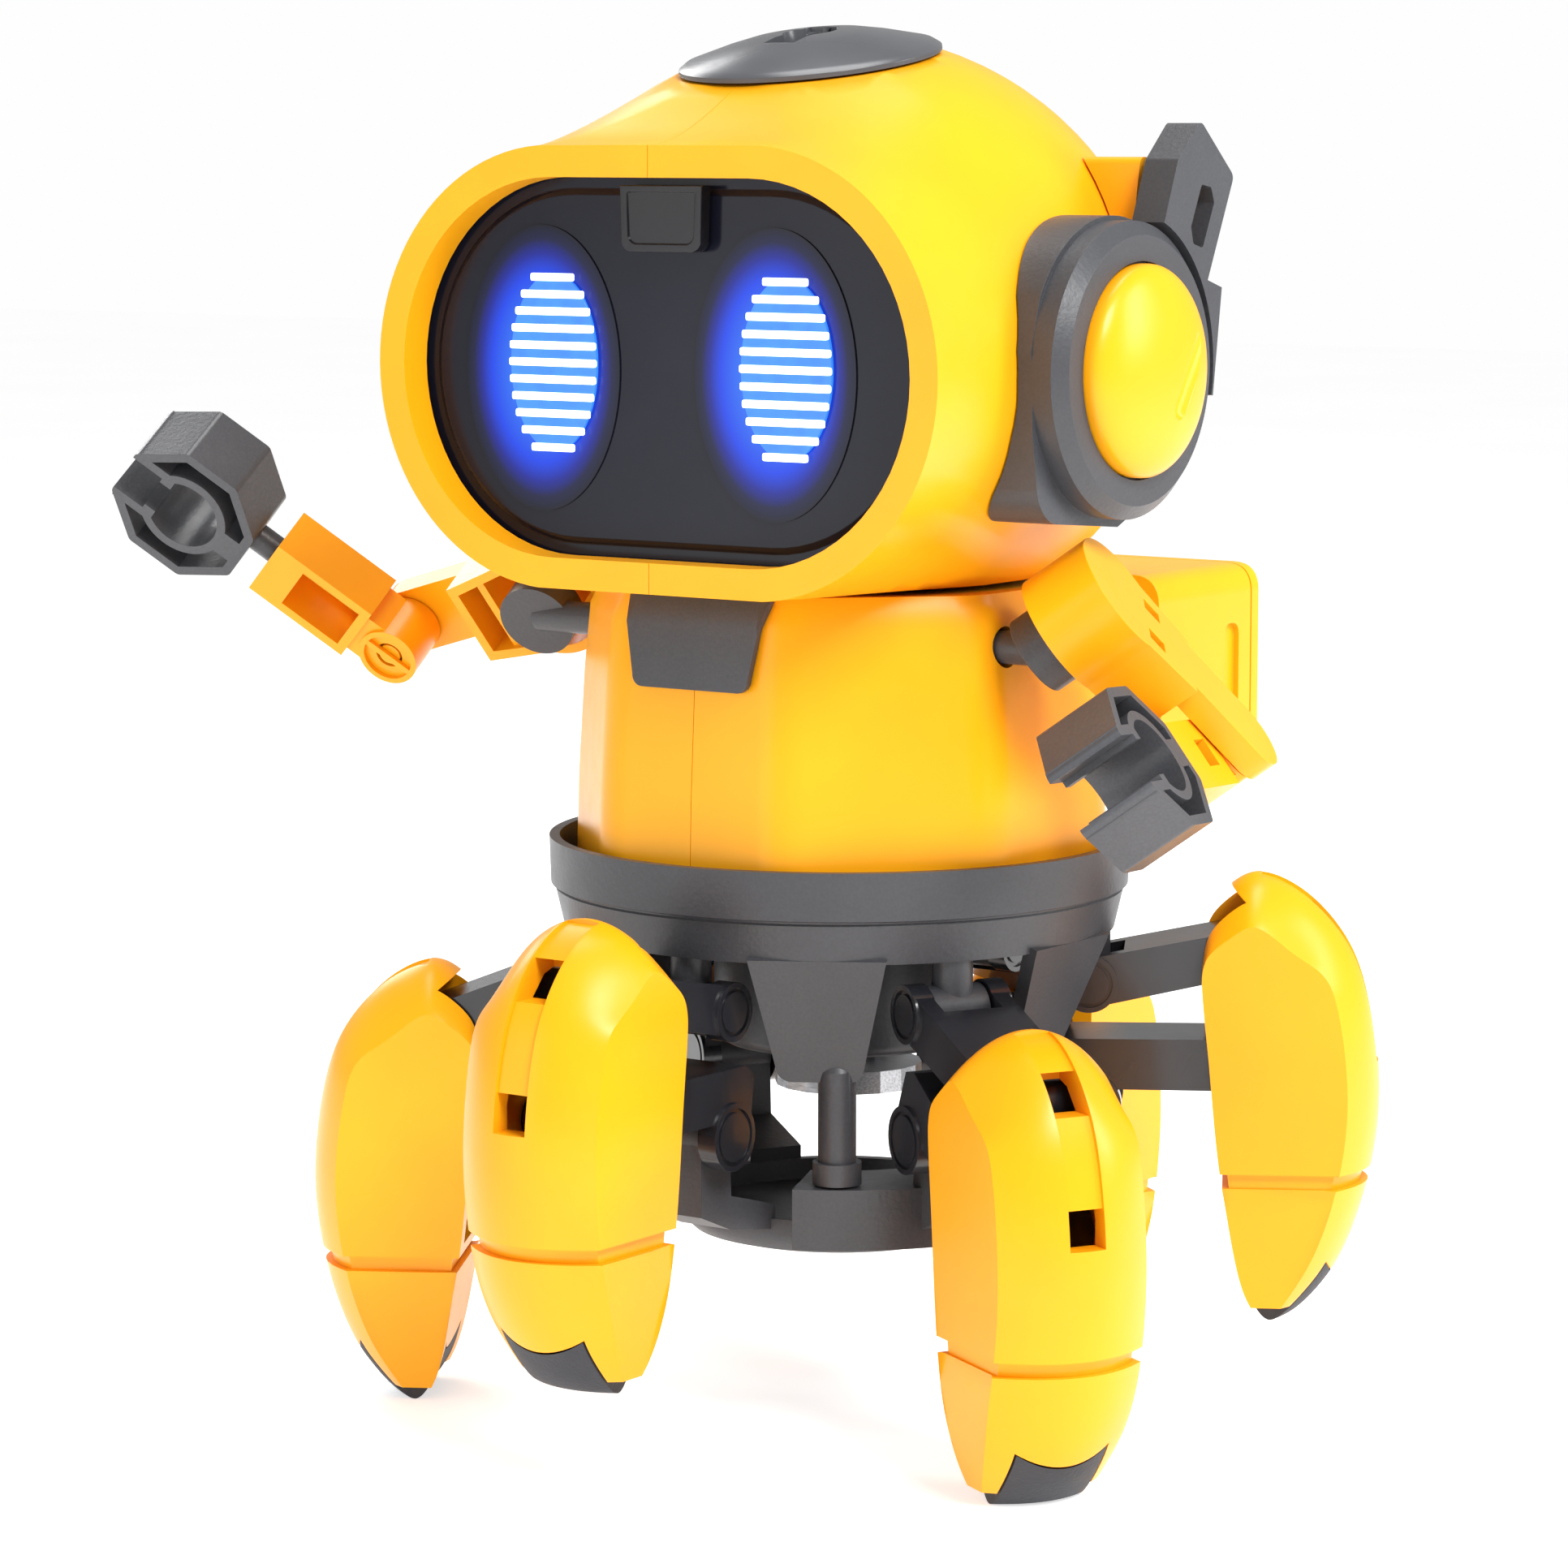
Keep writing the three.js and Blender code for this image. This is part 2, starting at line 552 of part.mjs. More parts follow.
function makeTorso() {
  const group = new THREE.Group();
  const shell = torsoShell();
  const neck = revolve([[7, 111.2], [9.7, 111.2], [9.7, 113.1], [25, 113.1], [27, 115.8],
    [22, 117.4], [7, 117.4], [7, 111.2]], 22);
  group.add(
    piece('torso_left_shell', leftHalf(shell), yellow),
    piece('torso_right_shell', rightHalf(shell), yellow),
    piece('chest_plate', chestPlate(), darkGrey),
    piece('battery_box', batteryBox(), yellow),
    piece('battery_cover', batteryCover(), yellow),
    piece('power_switch', box([-2.6, 0.6], [44.5, 47.5], [PACK_TOP_Z - 0.9, PACK_TOP_Z + 1.2]), darkGrey),
    piece('waist_spindle', waistSpindle(), darkGrey),
    piece('turn_motor', motor(10, 84), steel),
    piece('circuit_board', box([-13, 13], [-22.5, -20.9], [80, 104]), green),
    piece('neck_collar', neck, darkGrey));
  return group;
}

// ---------------------------------------------------------------- head
/** Height of the head's top above its widest line, at a distance y from its centre. */
function headTop(y) {
  const sphere = Math.sqrt(Math.max(HEAD_RADIUS ** 2 - y ** 2, 0));
  if (y >= SWEEP_END_Y) return sphere * 0.99;
  const t = (y - VISOR_Y) / (SWEEP_END_Y - VISOR_Y);
  const end = 0.99 * Math.sqrt(HEAD_RADIUS ** 2 - SWEEP_END_Y ** 2);
  return VISOR_HALF_HEIGHT + (end - VISOR_HALF_HEIGHT) * t * t * (2 - t);
}

function headBottom(y) {
  if (y >= 0) return 0.86 * Math.sqrt(Math.max(HEAD_RADIUS ** 2 - y ** 2, 0));
  return THREE.MathUtils.lerp(VISOR_HALF_HEIGHT, 0.86 * HEAD_RADIUS, smooth((y - VISOR_Y) / -VISOR_Y));
}

function headHalfWidth(y) {
  if (y <= 0) return THREE.MathUtils.lerp(VISOR_HALF_WIDTH, HEAD_RADIUS, smooth(1 - y / VISOR_Y));
  return Math.sqrt(Math.max(HEAD_RADIUS ** 2 - y ** 2, 0));
}

/** One cross-section of the head: flat above and below the face, round at the back. */
function headRing(y, offset) {
  const width = headHalfWidth(y) + offset;
  const flat = (VISOR_HALF_WIDTH - VISOR_HALF_HEIGHT) * (1 - smooth((y - VISOR_Y) / (SWEEP_END_Y - VISOR_Y)));
  const ring = [];
  const quarter = 6;
  for (let k = 0; k < 4 * quarter; k += 1) {
    const angle = (Math.PI / 2) * (k / quarter);
    const height = (Math.sin(angle) >= 0 ? headTop(y) : headBottom(y)) + offset;
    const middle = Math.sign(Math.round(Math.cos(angle) * 1e6)) * flat;
    ring.push([middle + (width - flat) * Math.cos(angle), y, HEAD_Z + height * Math.sin(angle)]);
  }
  return ring;
}

const HEAD_STATIONS = [-36, -29, -22, SWEEP_END_Y, 0, 13, 24, 33, 39, 42.5];

function headForm(offset, front) {
  const stations = [front, ...HEAD_STATIONS].filter((y) => y < HEAD_RADIUS + offset - 0.3);
  return loft(stations.map((y) => headRing(y, offset)).reverse());
}

/** The visor's outline moved inwards by `inset`. */
function visorOutline(inset) {
  const flat = VISOR_HALF_WIDTH - VISOR_HALF_HEIGHT;
  const radius = VISOR_HALF_HEIGHT - inset;
  return [...arc(flat, HEAD_Z, radius, -90, 90, 10), ...arc(-flat, HEAD_Z, radius, 90, 270, 10)];
}

/** A long cylinder along the tilted axis of the cap, starting on the cap's plane. */
function capCutter() {
  const geometry = new THREE.CylinderGeometry(60, 60, 60, 12);
  geometry.rotateX(Math.PI / 2);
  geometry.translate(0, 0, CAP_DISTANCE + 30);
  geometry.rotateX(radians(CAP_TILT));
  geometry.translate(0, 0, HEAD_Z);
  return solid(geometry);
}

function headShell() {
  const hollow = headForm(-HEAD_WALL, SCREEN_Y - GAP);
  const opening = slab('xz', visorOutline(VISOR_RIM), [VISOR_Y - 5, SCREEN_Y + 1]);
  let shell = headForm(0, VISOR_Y).subtract(hollow).subtract(opening);
  shell = shell.subtract(box([-FAR, FAR], [-FAR, FAR], [0, HEAD_BOTTOM_Z]));
  shell = shell.subtract(rod('z', 28.5, [90, 119], [0, 0, 0], 24));
  shell = shell.subtract(capCutter());
  for (const side of [-1, 1]) {
    shell = shell.subtract(rod('x', 4, outwards(side, 30, 60), [0, EAR.y, EAR.z], 8));
  }
  return shell;
}

function topCap() {
  const base = CAP_DISTANCE + GAP;
  const points = [[0, base], [CAP_RADIUS, base], [CAP_RADIUS, base + 0.5], [13, base + 2.2],
    [8, base + 3.4], [0, base + 3.9]].map(([x, y]) => new THREE.Vector2(x, y));
  const geometry = new THREE.LatheGeometry(points, 24);
  geometry.rotateX(Math.PI / 2);
  const notch = slab('xz', [[-3.2, base + 1.2], [3.2, base + 1.2], [5, base + 9], [-5, base + 9]], [-4, 4]);
  const place = new THREE.Group();
  place.position.z = HEAD_Z;
  place.rotation.x = radians(CAP_TILT);
  place.add(piece('top_cap', solid(geometry).subtract(notch), darkGrey));
  return place;
}

/** The grey housing of an ear: a bevelled disc on a larger foot that hugs the head. */
function earHousing(side) {
  const { y, z, radius, face } = EAR;
  const foot = [...arc(y, z, radius + 0.6, -60, 150, 10), [y - 21, z + 4], [y - 21.5, z - 10],
    ...arc(y - 15, z - 14, 6.5, 180, 270, 3), [y + 4, z - 20.6]];
  const bevelStart = face - 1.6;
  const ends = side > 0 ? [radius, radius - 1.8] : [radius - 1.8, radius];
  const body = union([
    slab('yz', foot, outwards(side, 30, 46)),
    rod('x', radius, outwards(side, 30, bevelStart), [0, y, z], 24),
    rod('x', ends[0], outwards(side, bevelStart, face), [0, y, z], 24, ends[1]),
  ]);
  const well = rod('x', EAR.dome + GAP, outwards(side, face - 1, 60), [0, y, z], 24);
  return body.subtract(well).subtract(headForm(GAP, VISOR_Y - 1));
}

function earDome(side) {
  const { y, z, dome, face } = EAR;
  const start = face - 1 + GAP;
  const profile = [[0, start], [dome, start], [dome, start + 1.4]];
  for (let k = 1; k <= 4; k += 1) {
    const angle = radians((90 * k) / 4);
    profile.push([dome * Math.cos(angle), start + 1.4 + 4.2 * Math.sin(angle)]);
  }
  profile[profile.length - 1][0] = 0;
  const geometry = new THREE.LatheGeometry(profile.map(([r, h]) => new THREE.Vector2(r, h)), 20);
  geometry.rotateZ(-Math.PI / 2);
  if (side < 0) geometry.rotateZ(Math.PI);
  geometry.translate(0, y, z);
  const groove = new THREE.CapsuleGeometry(1.4, 9, 2, 6);
  groove.rotateX(radians(-38));
  groove.translate(side * (start + 5.4), y + 5, z - 1);
  return solid(geometry).subtract(solid(groove));
}

/** The flat antenna blade that leans back behind an ear. */
function antenna() {
  const outline = [[-4, 148], [9, 146], [18.8, 166.4], [10.2, 173.6], [4.6, 168.6]];
  const slot = [[8.6, 157.8], [11, 157.2], [13.8, 163], [13, 165], [10.6, 165.4], [8, 160]];
  const blade = slab('yz', outline, [44.5, 49.4]).subtract(slab('yz', slot, [40, 60]));
  const foot = slab('yz', [[3, 140], [14, 138], [16, 152], [2, 156]], [38, 49.4]);
  const clearances = [headForm(GAP, VISOR_Y - 1), rod('x', EAR.radius + 1, [30, 60], [0, EAR.y, EAR.z], 24)];
  return blade.add(foot).subtract(clearances[0]).subtract(clearances[1]);
}

const faceScreen = () => slab('xz', visorOutline(2.6), [SCREEN_Y, SCREEN_Y + 1.8]);

function eye(side) {
  const outline = [];
  for (let k = 0; k < 16; k += 1) {
    const angle = (Math.PI * 2 * k) / 16;
    const x = (side * EYE_SPACING) / 2 + (EYE.width / 2) * Math.cos(angle);
    outline.push([x, EYE.z + (EYE.height / 2) * Math.sin(angle)]);
  }
  const front = SCREEN_Y - GAP;
  return slab('xz', outline, [front - EYE.thickness, front]);
}

function faceSensor() {
  const top = HEAD_Z + VISOR_HALF_HEIGHT - VISOR_RIM - 1;
  const outline = [...arc(-4.7, top - 6.8, 1.6, 190, 270, 2), ...arc(4.7, top - 6.8, 1.6, 270, 350, 2),
    [6.5, top], [-6.5, top]];
  return slab('xz', outline, [SCREEN_Y - GAP - 2, SCREEN_Y - GAP]);
}

function makeHead() {
  const group = new THREE.Group();
  const shell = headShell();
  group.add(
    piece('head_left_shell', leftHalf(shell), yellow),
    piece('head_right_shell', rightHalf(shell), yellow),
    piece('face_screen', faceScreen(), blackGloss),
    piece('face_sensor', faceSensor(), blackGloss),
    piece('left_eye_light', eye(1), eyeBlue),
    piece('right_eye_light', eye(-1), eyeBlue),
    topCap(),
    piece('left_ear_housing', earHousing(1), darkGrey),
    piece('right_ear_housing', earHousing(-1), darkGrey),
    piece('left_ear_dome', earDome(1), yellow),
    piece('right_ear_dome', earDome(-1), yellow),
    piece('antenna', antenna(), darkGrey));
  return group;
}

// ---------------------------------------------------------------- arms
/** A shoulder stud: a stem from inside the torso, and a boss and pin that lie square to the arm. */
function shoulderStud(side, shoulderX, armTurn) {
  const stem = rod('x', 2.2, outwards(side, STUD_INNER_X - shoulderX, 0), [0, 0, 0], 12);
  const boss = rodGeometry('x', 5.4, outwards(side, -1.6, ARM_INNER - 0.4), [0, 0, 0], 18);
  const pin = rodGeometry('x', 1.7, outwards(side, 0, 10.4), [0, 0, 0], 10);
  return union([stem, solid(boss.applyMatrix4(armTurn)), solid(pin.applyMatrix4(armTurn))]);
}

/** An upper arm: an open shell round the shoulder, and a cheek that reaches to the elbow. */
function upperArm(side) {
  const shellEnd = 14.5;
  const form = slab('yz', [...arc(0, 0, SHOULDER_RADIUS, 60, 300, 8), [shellEnd, -6.2], [shellEnd, 6.2]],
    outwards(side, ARM_INNER, ARM_OUTER));
  const hollow = slab('yz', [...arc(0, 0, SHOULDER_RADIUS - ARM_WALL, 60, 300, 8),
    [shellEnd - ARM_WALL, -4.9], [shellEnd - ARM_WALL, 4.9]], outwards(side, 0, ARM_OUTER - ARM_WALL));
  const elbow = UPPER_ARM_LENGTH;
  const cheek = slab('yz', [[shellEnd - 1, -5], ...arc(elbow, 0, 5, -90, 90, 6), [shellEnd - 1, 5]],
    outwards(side, CHEEK_INNER, ARM_OUTER));
  const rib = box(outwards(side, ARM_INNER + 1, ARM_OUTER - 0.5), [9, 10.2], [-6.5, 6.5]);
  const hub = rod('x', 4, outwards(side, ARM_INNER, ARM_OUTER - 0.5), [0, 0, 0], 12);
  const elbowPin = rod('x', 1.6, outwards(side, 1.2, CHEEK_INNER + 1), [0, elbow, 0], 10);
  let arm = union([form.subtract(hollow), cheek, rib, hub, elbowPin]);
  arm = arm.subtract(rod('x', 2.1, outwards(side, 0, 10.8), [0, 0, 0], 10));
  for (const z of [-3.6, 3.6]) {
    arm = arm.subtract(box(outwards(side, 10, 20), [4.8, 8], [z - 1.2, z + 1.2]));
  }
  return arm;
}

/** A forearm from the elbow barrel to the wrist socket: an open channel with a window. */
function forearm(side) {
  const barrelEnd = CHEEK_INNER - GAP;
  const barrel = rod('x', 4.4, outwards(side, 0.4, barrelEnd), [0, 0, 0], 16);
  const neck = box(outwards(side, 0.4, barrelEnd), [2, 7], [-3.6, 3.6]);
  const form = box(outwards(side, 0.4, barrelEnd), [5.4, FOREARM_LENGTH], [-5, 5]);
  const inside = [-5 + ARM_WALL, 5 - ARM_WALL];
  const hollow = box(outwards(side, 0, barrelEnd - ARM_WALL), [6.8, FOREARM_LENGTH - 5], inside);
  const window = box(outwards(side, 6, 14), [8.5, 13], [-2, 2]);
  const socket = rod('y', 2.4, [FOREARM_LENGTH - 6, FOREARM_LENGTH + 1], [side * WRIST_X, 0, 0], 10);
  const bore = rod('x', 2, outwards(side, 0, 10), [0, 0, 0], 10);
  return union([barrel, form, neck]).subtract(hollow).subtract(window).subtract(socket).subtract(bore);
}

/** A claw: an eight-sided open band round an open ring, joined at the two jaw tips. */
function claw() {
  const centre = CLAW_CENTRE;
  const half = CLAW_DEPTH / 2;
  const eightSided = (radius) => {
    const geometry = new THREE.CylinderGeometry(radius, radius, CLAW_DEPTH, 8, 1, false, Math.PI / 8);
    geometry.rotateZ(-Math.PI / 2);
    geometry.translate(0, centre, 0);
    return solid(geometry);
  };
  const ring = (radius, reach) => rod('x', radius, [-reach, reach], [0, centre, 0], 18);
  const outer = eightSided(CLAW_RADIUS).subtract(eightSided(CLAW_RADIUS - CLAW_WALL));
  const inner = ring(6.6, half).subtract(ring(5.3, half + 1));
  const heel = box([-half, half], [centre - 9.6, centre - 5.8], [-2, 2]);
  const mouth = box([-FAR, FAR], [centre + 3, centre + 20], [-CLAW_MOUTH / 2, CLAW_MOUTH / 2]);
  const parts = [union([outer, inner, heel]).subtract(mouth), rod('y', 2, [-4, 4], [0, 0, 0], 10)];
  for (const side of [-1, 1]) {
    const jaw = outwards(side, CLAW_MOUTH / 2, CLAW_MOUTH / 2 + 1.4);
    parts.push(box([-half, half], [centre + 4.6, centre + 9.8], jaw));
    parts.push(box([-half, half], [centre + 3.4, centre + 5.2], outwards(side, 2.6, 4.4)));
  }
  return union(parts);
}

/** One whole arm, from its shoulder stud to its claw. */
function makeArm({ name, side, shoulderX, splay, swingAngle, roll, forearmAngle }) {
  const shoulder = new THREE.Group();
  shoulder.position.set(side * shoulderX, SHOULDER.y, SHOULDER.z);
  const splayTurn = new THREE.Matrix4().makeRotationZ(radians(splay));
  const swingTurn = new THREE.Matrix4().makeRotationX(radians(swingAngle));
  const rollTurn = new THREE.Matrix4().makeRotationY(radians(roll));
  const armTurn = splayTurn.multiply(swingTurn).multiply(rollTurn);
  const arm = new THREE.Group();
  arm.applyMatrix4(armTurn);
  const elbow = new THREE.Group();
  elbow.position.y = UPPER_ARM_LENGTH;
  elbow.rotation.x = radians(forearmAngle);
  const wrist = new THREE.Group();
  wrist.position.set(side * WRIST_X, FOREARM_LENGTH, 0);
  wrist.add(piece(`${name}_claw`, claw(), darkGrey));
  elbow.add(piece(`${name}_forearm`, forearm(side), yellow), wrist);
  arm.add(piece(`${name}_upper_arm`, upperArm(side), yellow), elbow);
  shoulder.add(piece(`${name}_shoulder_stud`, shoulderStud(side, shoulderX, armTurn), darkGrey), arm);
  return shoulder;
}

// ---------------------------------------------------------------- the robot
const robot = new THREE.Group();
robot.add(makeChassis(), makeLegs(), makeTorso(), makeHead(), ...ARMS.map(makeArm));

// The origin is the middle of the footprint, on the ground.
const bounds = new THREE.Box3().setFromObject(robot, true);
const middle = bounds.getCenter(new THREE.Vector3());
robot.position.set(-middle.x, -middle.y, -bounds.min.z);
robot.updateMatrixWorld(true);

export default robot;
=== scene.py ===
"""Looks of the hexapod walking robot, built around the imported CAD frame.

Shapes are drawn in millimetres in the robot's own frame, whose origin is on the turning axis,
and put() turns them into metres in the row frame.
"""
import json
import math

import bpy
import bmesh
from mathutils import Matrix, Vector


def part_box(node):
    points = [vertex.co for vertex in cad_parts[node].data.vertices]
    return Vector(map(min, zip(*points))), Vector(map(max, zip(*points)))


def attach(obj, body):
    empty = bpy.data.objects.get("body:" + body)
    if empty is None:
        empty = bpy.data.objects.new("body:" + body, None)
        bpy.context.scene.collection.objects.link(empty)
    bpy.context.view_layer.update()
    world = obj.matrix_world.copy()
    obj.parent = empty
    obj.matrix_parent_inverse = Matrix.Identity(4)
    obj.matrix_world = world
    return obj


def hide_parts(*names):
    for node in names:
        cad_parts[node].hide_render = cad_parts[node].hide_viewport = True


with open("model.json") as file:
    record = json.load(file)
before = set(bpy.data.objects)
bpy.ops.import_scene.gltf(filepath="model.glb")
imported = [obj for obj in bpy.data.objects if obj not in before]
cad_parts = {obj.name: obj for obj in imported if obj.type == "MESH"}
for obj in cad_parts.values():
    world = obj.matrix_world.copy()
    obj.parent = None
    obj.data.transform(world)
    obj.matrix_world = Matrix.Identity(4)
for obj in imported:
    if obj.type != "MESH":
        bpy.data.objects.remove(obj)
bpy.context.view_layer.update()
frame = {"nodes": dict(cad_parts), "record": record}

MM = 0.001
spindle_low, spindle_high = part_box("waist_spindle")
AXIS_X = (spindle_low.x + spindle_high.x) / 2
AXIS_Y = (spindle_low.y + spindle_high.y) / 2
ROBOT = Matrix.Translation((AXIS_X, AXIS_Y, 0)) @ Matrix.Scale(MM, 4)
GAP = 0.3  # between neighbouring parts
FAR = 200.0  # farther out than any part of the robot

radians = math.radians


# ---------------------------------------------------------------- materials
def node_tree(name):
    """A new material with its nodes, its links and its shader."""
    material = bpy.data.materials.new(name)
    material.use_nodes = True
    nodes = material.node_tree.nodes
    return material, nodes, material.node_tree.links, nodes["Principled BSDF"]


def linear(rgb):
    """A screen colour of 0 to 255 as the shader's own linear colour."""
    return tuple(((c / 255 + 0.055) / 1.055) ** 2.4 if c > 10 else c / 255 / 12.92 for c in rgb) + (1,)


def texture(nodes, links, kind, coords, **values):
    tex = nodes.new(kind)
    links.new(coords, tex.inputs["Vector"])
    for key, value in values.items():
        tex.inputs[key].default_value = value
    return tex


def ramp(nodes, links, source, stops):
    node = nodes.new("ShaderNodeValToRGB")
    for index, (place, colour) in enumerate(stops):
        stop = node.color_ramp.elements[index] if index < 2 else node.color_ramp.elements.new(place)
        stop.position = place
        stop.color = colour
    links.new(source, node.inputs["Fac"])
    return node.outputs["Color"]


def moulded(name, colour, shade, rough, grain=0.02, grain_scale=900, coat=0.0, specular=0.5,
            metallic=0.0, speckle=0.0):
    """Moulded plastic: a slow drift of colour, fine scuffs in the gloss and a fine skin texture."""
    material, nodes, links, shader = node_tree(name)
    coords = nodes.new("ShaderNodeTexCoord").outputs["Object"]
    drift = texture(nodes, links, "ShaderNodeTexNoise", coords, Scale=38.0, Detail=3.0)
    base = ramp(nodes, links, drift.outputs["Fac"], [(0.3, linear(shade)), (0.7, linear(colour))])
    if speckle:
        flecks = texture(nodes, links, "ShaderNodeTexNoise", coords, Scale=2600.0, Detail=2.0)
        tint = ramp(nodes, links, flecks.outputs["Fac"],
                    [(0.35, (1 - speckle,) * 3 + (1,)), (0.65, (1, 1, 1, 1))])
        mix = nodes.new("ShaderNodeMix")
        mix.data_type = "RGBA"
        mix.blend_type = "MULTIPLY"
        mix.inputs["Factor"].default_value = 1.0
        links.new(base, mix.inputs["A"])
        links.new(tint, mix.inputs["B"])
        base = mix.outputs["Result"]
    links.new(base, shader.inputs["Base Color"])
    scuffs = texture(nodes, links, "ShaderNodeTexNoise", coords, Scale=240.0, Detail=6.0, Roughness=0.65)
    spread = nodes.new("ShaderNodeMapRange")
    spread.inputs["To Min"].default_value = rough * 0.8
    spread.inputs["To Max"].default_value = rough * 1.25
    links.new(scuffs.outputs["Fac"], spread.inputs["Value"])
    links.new(spread.outputs["Result"], shader.inputs["Roughness"])
    skin = texture(nodes, links, "ShaderNodeTexNoise", coords, Scale=float(grain_scale), Detail=3.0)
    bump = nodes.new("ShaderNodeBump")
    bump.inputs["Strength"].default_value = grain
    bump.inputs["Distance"].default_value = 0.0004
    links.new(skin.outputs["Fac"], bump.inputs["Height"])
    links.new(bump.outputs["Normal"], shader.inputs["Normal"])
    shader.inputs["Specular IOR Level"].default_value = specular
    shader.inputs["Metallic"].default_value = metallic
    shader.inputs["Coat Weight"].default_value = coat
    shader.inputs["Coat Roughness"].default_value = 0.12
    return material


yellow = moulded("yellow_plastic", (255, 177, 18), (252, 168, 14), 0.3, grain=0.012, specular=0.32)
grey = moulded("dark_grey_plastic", (70, 71, 75), (62, 63, 67), 0.4, grain=0.12, grain_scale=1500,
               speckle=0.12)
claw_grey = moulded("claw_plastic", (78, 79, 83), (64, 65, 69), 0.33, grain=0.1, grain_scale=1500,
                    speckle=0.15)
rubber = moulded("foot_rubber", (50, 51, 56), (42, 43, 48), 0.6, grain=0.3, grain_scale=2200)
black = moulded("link_plastic", (40, 41, 46), (30, 31, 36), 0.24, grain=0.04, coat=0.3)
screen = moulded("black_screen", (24, 26, 38), (17, 19, 31), 0.16, grain=0.004, specular=0.22)
dark_lens = moulded("sensor_lens", (30, 30, 34), (24, 24, 28), 0.14, grain=0.01, specular=0.35)
steel = moulded("steel", (176, 178, 182), (160, 162, 167), 0.28, grain=0.05, metallic=1.0)
gear_white = moulded("white_gear", (232, 229, 219), (222, 218, 206), 0.45, grain=0.05)
board_green = moulded("circuit_board", (38, 112, 66), (28, 96, 54), 0.4, grain=0.06)
cap_grey = moulded("cap_plastic", (84, 85, 89), (72, 73, 77), 0.24, grain=0.02)


def brushed(name):
    """Turned or drawn metal: fine lines stretched along one axis."""
    material, nodes, links, shader = node_tree(name)
    coords = nodes.new("ShaderNodeTexCoord").outputs["Object"]
    stretch = nodes.new("ShaderNodeMapping")
    stretch.inputs["Scale"].default_value = (60, 1800, 1800)
    links.new(coords, stretch.inputs["Vector"])
    lines = texture(nodes, links, "ShaderNodeTexNoise", stretch.outputs["Vector"], Scale=2.0, Detail=4.0)
    base = ramp(nodes, links, lines.outputs["Fac"],
                [(0.3, linear((150, 152, 156))), (0.7, linear((196, 198, 202)))])
    links.new(base, shader.inputs["Base Color"])
    shader.inputs["Metallic"].default_value = 1.0
    shader.inputs["Roughness"].default_value = 0.3
    bump = nodes.new("ShaderNodeBump")
    bump.inputs["Strength"].default_value = 0.08
    bump.inputs["Distance"].default_value = 0.0002
    links.new(lines.outputs["Fac"], bump.inputs["Height"])
    links.new(bump.outputs["Normal"], shader.inputs["Normal"])
    return material


# ---------------------------------------------------------------- drawing shapes
def from_data(name, verts, faces, at=None):
    """A mesh of points and faces, with double points merged and normals facing out."""
    mesh = bpy.data.meshes.new(name)
    mesh.from_pydata([tuple(v) for v in verts], [], faces)
    mesh.validate()
    shape = bmesh.new()
    shape.from_mesh(mesh)
    bmesh.ops.remove_doubles(shape, verts=shape.verts, dist=1e-4)
    bmesh.ops.recalc_face_normals(shape, faces=shape.faces)
    if at is not None:
        bmesh.ops.transform(shape, matrix=at, verts=shape.verts)
    shape.to_mesh(mesh)
    shape.free()
    return mesh


def loft(rings, at=None):
    """Joins equal rings of points into a closed skin with a flat end at each end."""
    count = len(rings[0])
    verts = [p for ring in rings for p in ring]
    faces = []
    for r in range(len(rings) - 1):
        for k in range(count):
            a, b = r * count + k, r * count + (k + 1) % count
            faces.append((a, b, b + count, a + count))
    faces.append(tuple(range(count))[::-1])
    faces.append(tuple((len(rings) - 1) * count + k for k in range(count)))
    return from_data("loft", verts, faces, at)


def prism(plane, outline, limits, at=None):
    """Extrudes an outline in the 'xy', 'xz' or 'yz' plane between two limits of the third axis."""
    place = {"xy": lambda u, v, w: (u, v, w), "xz": lambda u, v, w: (u, w, v),
             "yz": lambda u, v, w: (w, u, v)}[plane]
    return loft([[place(u, v, w) for u, v in outline] for w in limits], at)


def block(x, y, z, at=None):
    return prism("xy", [(x[0], y[0]), (x[1], y[0]), (x[1], y[1]), (x[0], y[1])], z, at)


def circle(radius, sides=48, turn=0.0):
    return [(radius * math.cos(turn + 2 * math.pi * k / sides),
             radius * math.sin(turn + 2 * math.pi * k / sides)) for k in range(sides)]


def rod(axis, radius, limits, centre=(0, 0, 0), sides=48, end=None, at=None):
    """A round bar along an axis between two limits; a second radius makes it taper."""
    end = radius if end is None else end
    rings = []
    for r, w in ((radius, limits[0]), (end, limits[1])):
        ring = []
        for u, v in circle(r, sides):
            p = {"x": (w, u, v), "y": (u, w, v), "z": (u, v, w)}[axis]
            ring.append(tuple(p[i] + centre[i] for i in range(3)))
        rings.append(ring)
    return loft(rings, at)


def lathe(profile, sides=96, at=None):
    """Revolves a closed (radius, z) profile; a radius of 0 closes on the axis."""
    verts, faces = [], []
    for k in range(sides):
        angle = 2 * math.pi * k / sides
        verts += [(r * math.cos(angle), r * math.sin(angle), z) for r, z in profile]
    n = len(profile)
    for k in range(sides):
        a, b = k * n, ((k + 1) % sides) * n
        for i in range(n):
            j = (i + 1) % n
            if profile[i][0] == 0 and profile[j][0] == 0:
                continue
            face = [a + i, b + i, b + j, a + j]
            if profile[i][0] == 0:
                face = [a + i, b + j, a + j]
            elif profile[j][0] == 0:
                face = [a + i, b + i, a + j]
            faces.append(tuple(face))
    return from_data("lathe", verts, faces, at)


def arc(cx, cy, radius, start, stop, steps):
    """Points along an arc between two angles in degrees."""
    return [(cx + radius * math.cos(radians(start + (stop - start) * k / steps)),
             cy + radius * math.sin(radians(start + (stop - start) * k / steps)))
            for k in range(steps + 1)]


